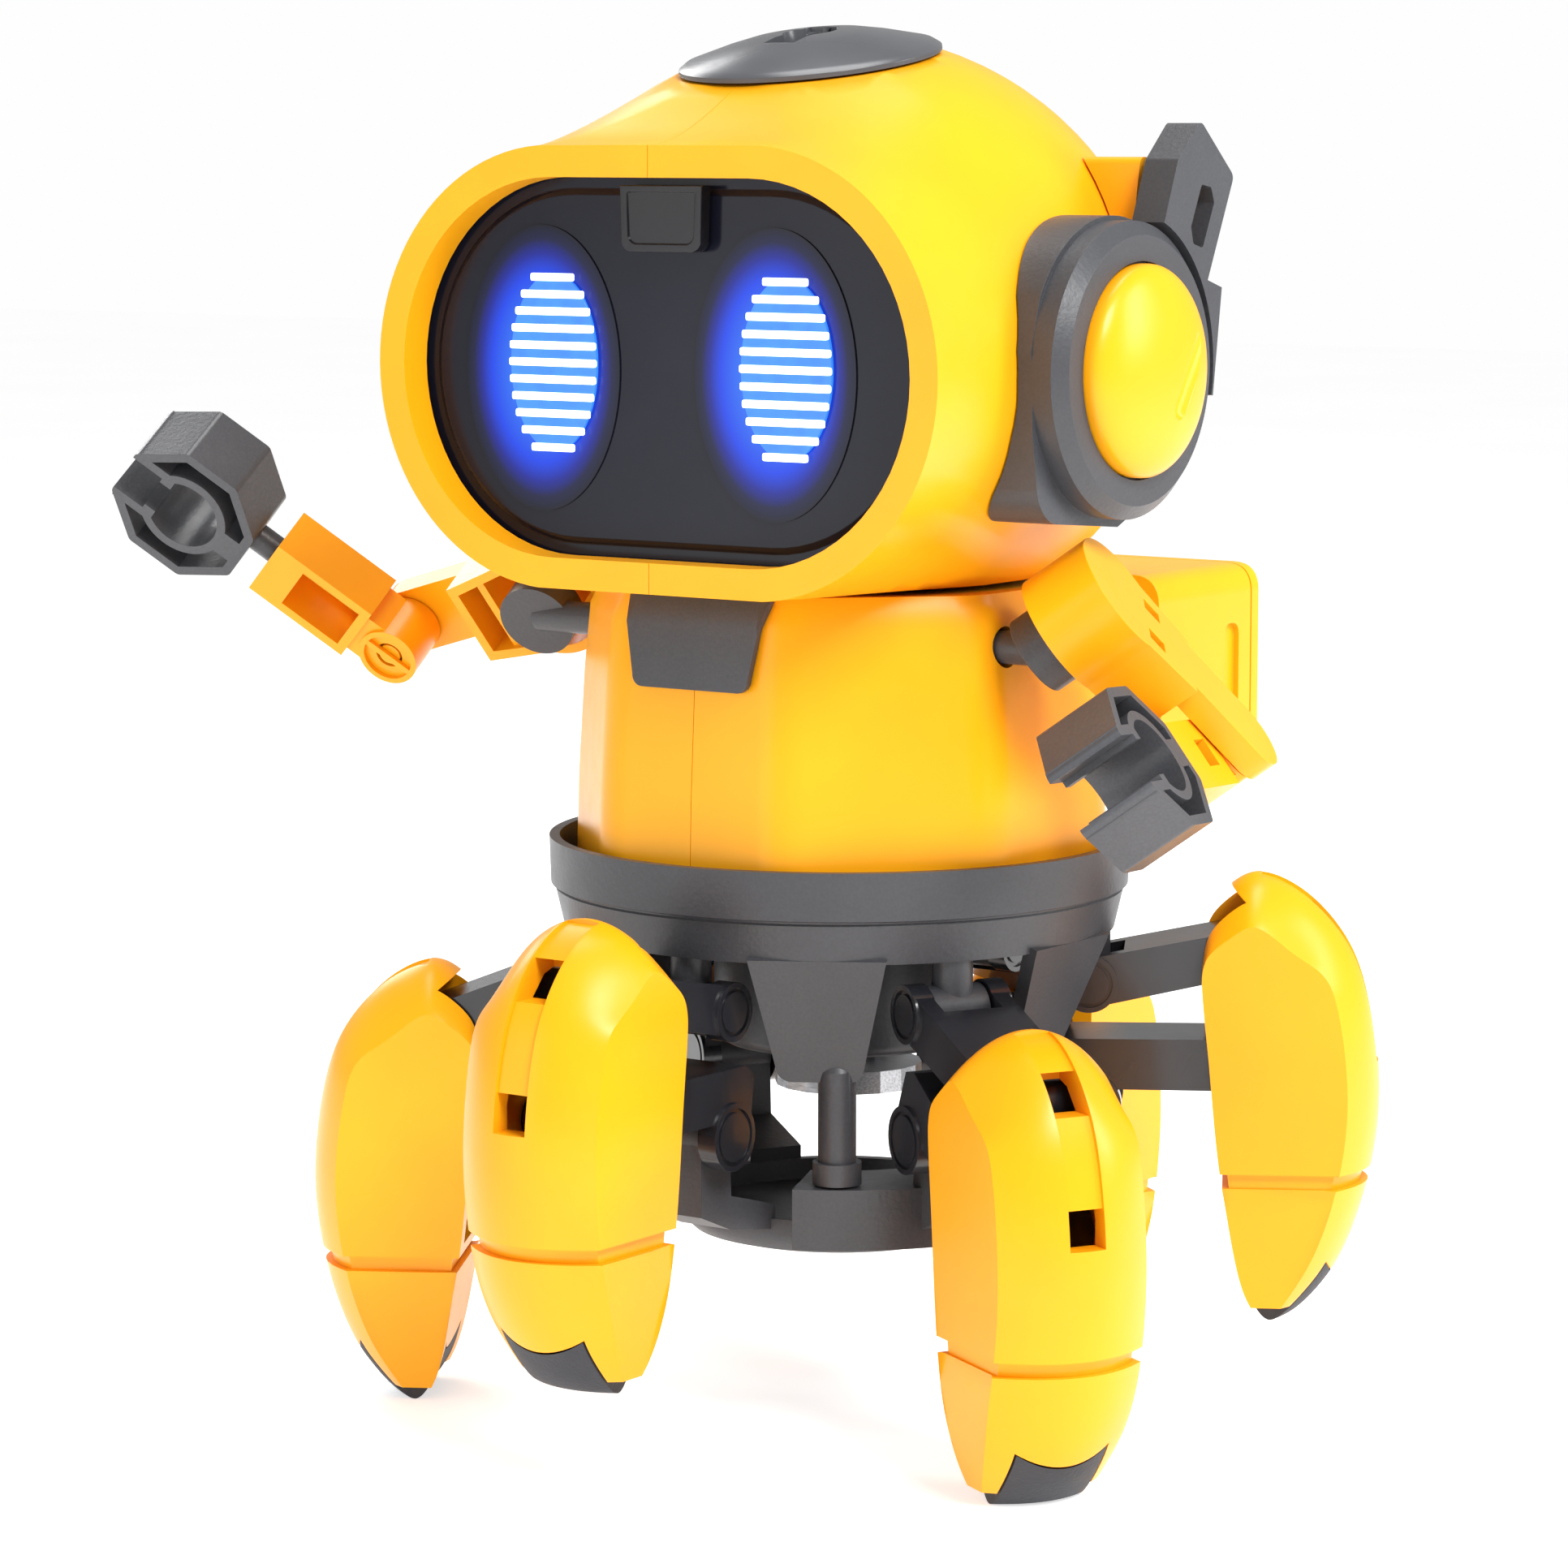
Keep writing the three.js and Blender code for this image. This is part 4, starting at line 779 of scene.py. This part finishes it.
def make_cap():
    """The cap on the crown, with an oval hole and a notch in front of it."""
    base = CAP_DISTANCE + GAP
    cap = lathe([(0, base), (CAP_RADIUS, base), (CAP_RADIUS, base + 0.6), (16.4, base + 1.3),
                 (11.5, base + 2.7), (8, base + 3.5), (4.6, base + 3.9), (0, base + 3.9)], 96)
    notch = prism("yz", [(-4, base + 1.4), (4, base + 3.3), (4, base + 9), (-14, base + 9)], (-2.4, 2.4))
    cap = cut(cap, rod("z", 3.1, (base + 1, base + 9), (0, 0.5, 0), end=4.6), notch)
    put("crown_cap", soften(cap, 0.35), cap_grey, "upper_body", ["top_cap"],
        cap_place(), smooth=25)


def capsule(radius, length, at):
    """A round-ended bar along y."""
    rings = []
    for k in range(1, 24):
        angle = math.pi * k / 24
        shift = -length / 2 if k <= 12 else length / 2
        y = shift - radius * math.cos(angle)
        rings.append([(u, y, v) for u, v in circle(radius * math.sin(angle), 24)])
    return loft(rings, at)


def facing(side):
    """Turns a shape drawn along z so that it faces sideways, on the line through the ears."""
    return Matrix.Translation((0, EAR_Y, EAR_Z)) @ Matrix.Rotation(radians(90 * side), 4, "Y")


def ear_housing(side):
    """The round housing and its foot, which follows the head down and back."""
    y, z, r = EAR_Y, EAR_Z, EAR_RADIUS
    foot = arc(y, z, r + 0.6, -60, 150, 48) + [(y - 19, z + 3), (y - 18.5, z - 8)]
    foot += arc(y - 12, z - 13.5, 5.5, 180, 270, 12) + [(y + 2, z - 20.2)]
    rim = EAR_FACE - EAR_BEVEL
    bevel = lathe([(0, rim - 1), (r, rim - 1), (r, rim), (r - 1.8, EAR_FACE), (0, EAR_FACE)], 96,
                  facing(side))
    body = join(prism("yz", foot, outwards(side, 30, 46)),
                rod("x", r, outwards(side, 30, rim), (0, y, z), 96), bevel)
    well = rod("x", EAR_DOME + GAP, outwards(side, EAR_FACE - 1, 60), (0, y, z), 96)
    return soften(cut(body, well, head_form(GAP, VISOR_Y - 1)), 0.4)


def ear_dome(side):
    """The yellow dome, with its slanting groove."""
    start = EAR_FACE - 1 + GAP
    profile = [(0, start), (EAR_DOME, start), (EAR_DOME, start + 1.2)]
    for k in range(1, 18):
        angle = radians(5 * k)
        profile.append((EAR_DOME * math.cos(angle), start + 1.4 + 4.2 * math.sin(angle)))
    profile.append((0, start + 5.6))
    groove = (Matrix.Translation((side * (start + 6.6), EAR_Y + 5.5, EAR_Z))
              @ Matrix.Rotation(radians(57), 4, "X"))
    return soften(cut(lathe(profile, 96, facing(side)), capsule(2.2, 11, groove)), 0.3, angle=28)


def make_ears():
    for side, name in ((1, "left"), (-1, "right")):
        put(f"ear_ring_{name}", ear_housing(side), grey, "upper_body", [f"{name}_ear_housing"])
        put(f"ear_cap_{name}", ear_dome(side), yellow, "upper_body", [f"{name}_ear_dome"],
            smooth=40)


ANTENNA_SIDE = 49.4


def make_antenna():
    """The blade behind the left ear, and the yellow lug of the head beside it."""
    outline = rounded([(-4, 148), (9, 146), (18.8, 166.4), (10.2, 173.6), (4.6, 168.6)],
                      [0.5, 0.5, 1.2, 1.2, 1.2])
    slot = rounded([(8.6, 157.8), (11, 157.2), (13.8, 163), (13, 165), (10.6, 165.4), (8, 160)], 0.5, 3)
    blade = cut(prism("yz", outline, (44.5, ANTENNA_SIDE)), prism("yz", slot, (40, 60)))
    foot = prism("yz", [(3, 140), (14, 138), (16, 152), (2, 156)], (38, ANTENNA_SIDE))
    around_head = head_form(GAP, VISOR_Y - 1)
    body = cut(join(blade, foot), around_head,
               rod("x", EAR_RADIUS + 1, (30, 60), (0, EAR_Y, EAR_Z), 96))
    lug = prism("yz", rounded([(4.5, 158), (11.5, 158), (11, 168.6), (6.5, 169)], 1.2), (33, 42.6))
    put("antenna_lug", soften(cut(lug, around_head), 0.35), yellow, "upper_body", ())
    put("antenna_blade", soften(body, 0.4), grey, "upper_body", ["antenna"])


# ---------------------------------------------------------------- arms
ARM_LENGTH, FOREARM_LENGTH, WRIST_X = 28.0, 21.5, 4.7
ARM_INNER, ARM_OUTER, CHEEK_INNER, WALL = 3.0, 13.0, 9.3, 1.4
ARM_RADIUS, ARM_SHELL_END, ARM_SHELL_HALF = 8.6, 14.5, 6.2
FOREARM_HALF, BARREL_OUTER, BARREL_INNER = 5.0, 4.4, 3.6
CLAW_CENTRE, CLAW_RADIUS, CLAW_DEPTH, CLAW_WALL, CLAW_MOUTH = 13.4, 11.0, 11.0, 1.5, 6.8
INNER_RING, JAW = 6.6, 1.4
STUD_START, STEM_RADIUS, BOSS_RADIUS = 27.0, 2.2, 5.4
# name, side, place of the shoulder, then splay, swing, roll and elbow angle in degrees
ARMS = [("right", -1, 43.5, 92, -16, 149, -62), ("left", 1, 38.5, -25, -43, -53, -128)]


def shell_outline(inset):
    """Round at the shoulder, square at the far end."""
    end, half_width = ARM_SHELL_END - inset, ARM_SHELL_HALF - 1.3 * inset / WALL
    return arc(0, 0, ARM_RADIUS - inset, 60, 300, 32) + [(end, -half_width), (end, half_width)]


def upper_arm(side):
    """A shell that is open towards the body, with one cheek that holds the elbow."""
    form = prism("yz", shell_outline(0), outwards(side, ARM_INNER, ARM_OUTER))
    hollow = prism("yz", shell_outline(WALL), outwards(side, 0, ARM_OUTER - WALL))
    start = ARM_SHELL_END - 1
    cheek = prism("yz", [(start, -5)] + arc(ARM_LENGTH, 0, 5, -90, 90, 24) + [(start, 5)],
                  outwards(side, CHEEK_INNER, ARM_OUTER))
    rib = block(outwards(side, ARM_INNER + 1, ARM_OUTER - 0.5), (9, 10.2), (-6.5, 6.5))
    hub = rod("x", 4, outwards(side, ARM_INNER, ARM_OUTER - 0.5))
    pin = rod("x", 1.6, outwards(side, 1.2, CHEEK_INNER + 1), (0, ARM_LENGTH, 0), 24)
    arm = join(cut(form, hollow), cheek, rib, hub, pin)
    arm = cut(arm, rod("x", 2.1, outwards(side, 0, 10.8), sides=24))
    for z in (-3.6, 3.6):
        arm = cut(arm, block(outwards(side, 10, 20), (4.8, 8), (z - 1.2, z + 1.2)))
    return soften(arm, 0.35)


def forearm(side):
    """A hollow plate with a window, and a barrel whose open end has a cross rib."""
    outer = CHEEK_INNER - GAP
    limits = outwards(side, 0.4, outer)
    inside = FOREARM_HALF - WALL
    plate = block(limits, (5.4, FOREARM_LENGTH), (-FOREARM_HALF, FOREARM_HALF))
    plate = cut(plate, block(outwards(side, 0, outer - WALL), (6.8, FOREARM_LENGTH - 5), (-inside, inside)),
                block(outwards(side, 6, 14), (8.5, 13), (-2, 2)),
                rod("y", 2.4, (FOREARM_LENGTH - 6, FOREARM_LENGTH + 1), (side * WRIST_X, 0, 0), 24))
    neck = block(outwards(side, 0.9, outer - 0.5), (2, 6), (-3.6, 3.6))
    arm = join(plate, neck, rod("x", BARREL_OUTER, limits, sides=64))
    arm = cut(arm, rod("x", BARREL_INNER, outwards(side, 0, 1.1)),
              rod("x", 2, outwards(side, 1, 10), sides=24))
    return soften(join(arm, block(outwards(side, 0.5, 1.12), (-3.9, 3.9), (-0.45, 0.45))), 0.3)


def claw():
    """An eight-sided claw with an inner ring, two jaws beside its mouth and a wrist pin."""
    c, half_depth = CLAW_CENTRE, CLAW_DEPTH / 2
    depth = (-half_depth, half_depth)

    def eight_sided(radius):
        return [(c + u, v) for u, v in circle(radius, 8, math.pi / 8)]

    def ring(radius, reach):
        return rod("x", radius, (-reach, reach), (0, c, 0), 64)

    body = cut(prism("yz", rounded(eight_sided(CLAW_RADIUS), 1.2, 4), depth),
               prism("yz", eight_sided(CLAW_RADIUS - CLAW_WALL), (-20, 20)))
    inner = cut(ring(INNER_RING, half_depth), ring(INNER_RING - 1.3, half_depth + 1))
    body = join(body, inner, block(depth, (c - 9.6, c - 5.8), (-2, 2)))
    body = cut(body, block((-FAR, FAR), (c + 3, c + 20), (-CLAW_MOUTH / 2, CLAW_MOUTH / 2)))
    body = join(body, rod("y", 2, (-4, 4), sides=24))
    for side in (-1, 1):
        jaw = outwards(side, CLAW_MOUTH / 2, CLAW_MOUTH / 2 + JAW)
        body = join(body, block(depth, (c + 4.6, c + 9.8), jaw),
                    block(depth, (c + 3.4, c + 5.2), outwards(side, 2.6, 4.4)))
    return soften(body, 0.3)


def shoulder_joint(side, shoulder_x, turn):
    """The fixed stud: a stem along x out of the torso, and a disc and pin along the arm's own axis."""
    stem = rod("x", STEM_RADIUS, outwards(side, STUD_START - shoulder_x, 0), sides=32)
    boss = rod("x", BOSS_RADIUS, outwards(side, -1.6, ARM_INNER - 0.4), sides=64, at=turn)
    pin = rod("x", 1.7, outwards(side, 0, 10.4), sides=24, at=turn)
    return soften(join(stem, boss, pin), 0.25)


def make_arms():
    claw_mesh = claw()
    for name, side, shoulder_x, splay, swing, roll, bend in ARMS:
        turn = (Matrix.Rotation(radians(splay), 4, "Z") @ Matrix.Rotation(radians(swing), 4, "X")
                @ Matrix.Rotation(radians(roll), 4, "Y"))
        shoulder = Matrix.Translation((side * shoulder_x, SHOULDER_Y, SHOULDER_Z))
        arm = shoulder @ turn
        elbow = arm @ Matrix.Translation((0, ARM_LENGTH, 0)) @ Matrix.Rotation(radians(bend), 4, "X")
        hand = elbow @ Matrix.Translation((side * WRIST_X, FOREARM_LENGTH, 0))
        put(f"{name}_arm_upper", upper_arm(side), yellow, f"{name}_upper_arm_body",
            [f"{name}_upper_arm"], arm)
        put(f"{name}_arm_fore", forearm(side), yellow, f"{name}_forearm_body",
            [f"{name}_forearm"], elbow)
        put(f"{name}_hand", claw_mesh, claw_grey, f"{name}_claw_body", [f"{name}_claw"],
            hand)
        put(f"{name}_shoulder_joint", shoulder_joint(side, shoulder_x, turn), grey, "upper_body",
            [f"{name}_shoulder_stud"], shoulder)


# ---------------------------------------------------------------- eyes
EYE_SPACING, EYE_WIDTH, EYE_HEIGHT, EYE_Z = 36.8, 14.0, 23.0, 142.5
EYE_BACK, EYE_FRONT = SCREEN_Y - GAP, SCREEN_Y - GAP - 0.8
BARS, BAR_HEIGHT = 11, 1.0
HALO_HALF_W, HALO_HALF_H = 12.5, 18.5


def emissive(name, base, glow, strength):
    """Lit plastic: the light is a little uneven, as it is when it comes from a few points behind."""
    material, nodes, links, shader = node_tree(name)
    coords = nodes.new("ShaderNodeTexCoord").outputs["Object"]
    patches = texture(nodes, links, "ShaderNodeTexNoise", coords, Scale=260.0, Detail=2.0)
    shader.inputs["Base Color"].default_value = linear(base)
    dim = tuple(0.82 * c for c in linear(glow)[:3]) + (1,)
    links.new(ramp(nodes, links, patches.outputs["Fac"], [(0.35, dim), (0.6, linear(glow))]),
              shader.inputs["Emission Color"])
    shader.inputs["Emission Strength"].default_value = strength
    shader.inputs["Roughness"].default_value = 0.3
    return material


def vector_math(nodes, links, operation, source, value=(0, 0, 0)):
    node = nodes.new("ShaderNodeVectorMath")
    node.operation = operation
    links.new(source, node.inputs[0])
    node.inputs[1].default_value = value
    return node


def halo_material(centre):
    """Black gloss that glows blue near the eye and fades out with distance."""
    material, nodes, links, shader = node_tree("eye_halo")
    coords = nodes.new("ShaderNodeTexCoord").outputs["Object"]
    place = vector_math(nodes, links, "SUBTRACT", coords, centre)
    reach = (1 / HALO_HALF_W / MM, 0.0, 1 / HALO_HALF_H / MM)
    scale = vector_math(nodes, links, "MULTIPLY", place.outputs["Vector"], reach)
    length = vector_math(nodes, links, "LENGTH", scale.outputs["Vector"])
    colour = ramp(nodes, links, length.outputs["Value"],
                  [(0.0, linear((70, 160, 255))), (1.0, (0, 0, 0, 1)), (0.66, linear((20, 70, 235))),
                   (0.8, linear((20, 34, 150))), (0.9, linear((14, 18, 60)))])
    links.new(colour, shader.inputs["Emission Color"])
    shader.inputs["Emission Strength"].default_value = 1.0
    shader.inputs["Base Color"].default_value = linear((20, 22, 34))
    shader.inputs["Specular IOR Level"].default_value = 0.22
    shader.inputs["Roughness"].default_value = 0.16
    return material


def ellipse(x, z, half_width, half_height, sides):
    return [(x + u * half_width, z + v * half_height) for u, v in circle(1, sides)]


def eye_bars(x):
    """Eleven level bars, each as long as the eye is wide at its height."""
    group = bmesh.new()
    pitch = (EYE_HEIGHT - BAR_HEIGHT) / (BARS - 1)
    for k in range(BARS):
        z = EYE_Z + pitch * (k - (BARS - 1) / 2)
        low, high = z - BAR_HEIGHT / 2, z + BAR_HEIGHT / 2
        reach = EYE_WIDTH / 2 * math.sqrt(max(1 - ((z - EYE_Z) / (EYE_HEIGHT / 2 + 1.1)) ** 2, 0.05))
        outline = rounded([(x - reach, low), (x + reach, low), (x + reach, high), (x - reach, high)], 0.3, 3)
        group.from_mesh(prism("xz", outline, (EYE_FRONT, EYE_FRONT + 0.36)))
    mesh = bpy.data.meshes.new("bars")
    group.to_mesh(mesh)
    group.free()
    return mesh


def make_eyes():
    blue = emissive("eye_blue", (20, 60, 160), (58, 140, 240), 1.0)
    white = emissive("eye_bars", (230, 240, 255), (225, 240, 255), 2.2)
    for side, name in ((1, "left"), (-1, "right")):
        x = side * EYE_SPACING / 2
        plate = prism("xz", ellipse(x, EYE_Z, EYE_WIDTH / 2, EYE_HEIGHT / 2, 64), (EYE_FRONT + 0.3, EYE_BACK))
        put(f"{name}_eye_plate", soften(plate, 0.12), blue, "upper_body", [f"{name}_eye_light"])
        put(f"{name}_eye_bars", eye_bars(x), white, "upper_body", ())
        glow_x, glow_z = x - 2.2, EYE_Z - 0.8
        glow = prism("xz", ellipse(glow_x, glow_z, HALO_HALF_W, HALO_HALF_H, 96),
                     (SCREEN_Y - 0.22, SCREEN_Y - 0.05))
        centre = ROBOT @ Vector((glow_x, SCREEN_Y, glow_z))
        put(f"{name}_eye_glow", glow, halo_material(centre), "upper_body", ())


make_legs()
make_links()
make_chassis()
make_torso()
make_pack()
make_head()
make_face()
make_cap()
make_ears()
make_antenna()
make_arms()
make_eyes()


# ---------------------------------------------------------------- the CAD nodes that still show
SLOT_MATERIALS = {"yellow_plastic": yellow, "dark_grey_plastic": grey, "foot_rubber": rubber,
                  "black_screen": screen, "eye_light": screen, "steel": brushed("brushed_steel"),
                  "white_gear": gear_white, "circuit_board": board_green}
slots = {part["node"]: part["material_slot"] for part in frame["record"]["subparts"]}
for name, node in frame["nodes"].items():
    node.data.materials.clear()
    node.data.materials.append(SLOT_MATERIALS[slots[name]])


# ---------------------------------------------------------------- floor, lights and camera
FLOOR_HALF, FLOOR_GLOW = 3.0, 0.6
CAMERA_AZIMUTH, CAMERA_DISTANCE, CAMERA_Z = radians(34.5), 0.685, 0.173
CAMERA_PITCH, CAMERA_YAW = math.atan(812 / 6300), math.atan(69 / 6300)
SENSOR_WIDTH, LENS = 36.0, 117.4
# name, place from the robot (towards the camera, to the right, up), size and power
LIGHTS = [("key", (0.55, 0.35, 0.6), (0.3, 0.3), 7.0), ("side", (0.05, 0.8, 0.35), (0.25, 0.5), 3.5),
          ("fill", (0.5, -0.75, 0.15), (0.5, 0.5), 1.2), ("top", (-0.15, 0.0, 0.8), (0.4, 0.4), 3.0),
          ("rim", (-0.7, -0.4, 0.4), (0.4, 0.4), 3.0)]
WORLD_LIGHT, WORLD_SEEN = 0.42, 0.99


def make_floor():
    mesh = bpy.data.meshes.new("floor")
    corners = [(-1, -1), (1, -1), (1, 1), (-1, 1)]
    mesh.from_pydata([(u * FLOOR_HALF, v * FLOOR_HALF, 0) for u, v in corners], [], [(0, 1, 2, 3)])
    floor = bpy.data.objects.new("floor", mesh)
    bpy.context.scene.collection.objects.link(floor)
    material, nodes, links, shader = node_tree("pale_floor")
    coords = nodes.new("ShaderNodeTexCoord").outputs["Object"]
    noise = texture(nodes, links, "ShaderNodeTexNoise", coords, Scale=9.0, Detail=3.0)
    pale = ramp(nodes, links, noise.outputs["Fac"], [(0.3, (0.86, 0.86, 0.86, 1)), (0.7, (0.9, 0.9, 0.9, 1))])
    links.new(pale, shader.inputs["Base Color"])
    shader.inputs["Roughness"].default_value = 0.6
    shader.inputs["Emission Color"].default_value = (1, 1, 1, 1)
    shader.inputs["Emission Strength"].default_value = FLOOR_GLOW
    mesh.materials.append(material)


def camera_axes():
    back = Vector((math.sin(CAMERA_AZIMUTH), -math.cos(CAMERA_AZIMUTH), 0))
    right = Vector((math.cos(CAMERA_AZIMUTH), math.sin(CAMERA_AZIMUTH), 0))
    return right, back


def make_camera():
    right, back = camera_axes()
    forward = -back * math.cos(CAMERA_YAW) - right * math.sin(CAMERA_YAW)
    look = forward * math.cos(CAMERA_PITCH) - Vector((0, 0, 1)) * math.sin(CAMERA_PITCH)
    data = bpy.data.cameras.new("camera")
    data.sensor_width = SENSOR_WIDTH
    data.lens = LENS
    data.clip_start = 0.01
    camera = bpy.data.objects.new("camera", data)
    camera.location = Vector((AXIS_X, AXIS_Y, CAMERA_Z)) + back * CAMERA_DISTANCE
    camera.rotation_euler = look.to_track_quat("-Z", "Y").to_euler()
    bpy.context.scene.collection.objects.link(camera)
    bpy.context.scene.camera = camera


def area_light(name, at, target, size, power):
    light = bpy.data.lights.new(name, "AREA")
    light.shape = "RECTANGLE"
    light.size, light.size_y = size
    light.energy = power
    obj = bpy.data.objects.new(name, light)
    obj.location = at
    obj.rotation_euler = (target - at).to_track_quat("-Z", "Y").to_euler()
    bpy.context.scene.collection.objects.link(obj)


def make_lights():
    right, back = camera_axes()
    middle = Vector((AXIS_X, AXIS_Y, 0.1))
    for name, (near, across, high), size, power in LIGHTS:
        at = middle + back * near + right * across + Vector((0, 0, high))
        area_light(name, at, middle, size, power)
    world = bpy.data.worlds.new("studio")
    bpy.context.scene.world = world
    world.use_nodes = True
    nodes, links = world.node_tree.nodes, world.node_tree.links
    background = nodes["Background"]
    background.inputs["Color"].default_value = (1, 1, 1, 1)
    path = nodes.new("ShaderNodeLightPath")
    strength = nodes.new("ShaderNodeMapRange")
    strength.inputs["To Min"].default_value = WORLD_LIGHT
    strength.inputs["To Max"].default_value = WORLD_SEEN
    links.new(path.outputs["Is Camera Ray"], strength.inputs["Value"])
    links.new(strength.outputs["Result"], background.inputs["Strength"])
    bpy.context.scene.view_settings.view_transform = "Standard"


make_floor()
make_lights()
make_camera()
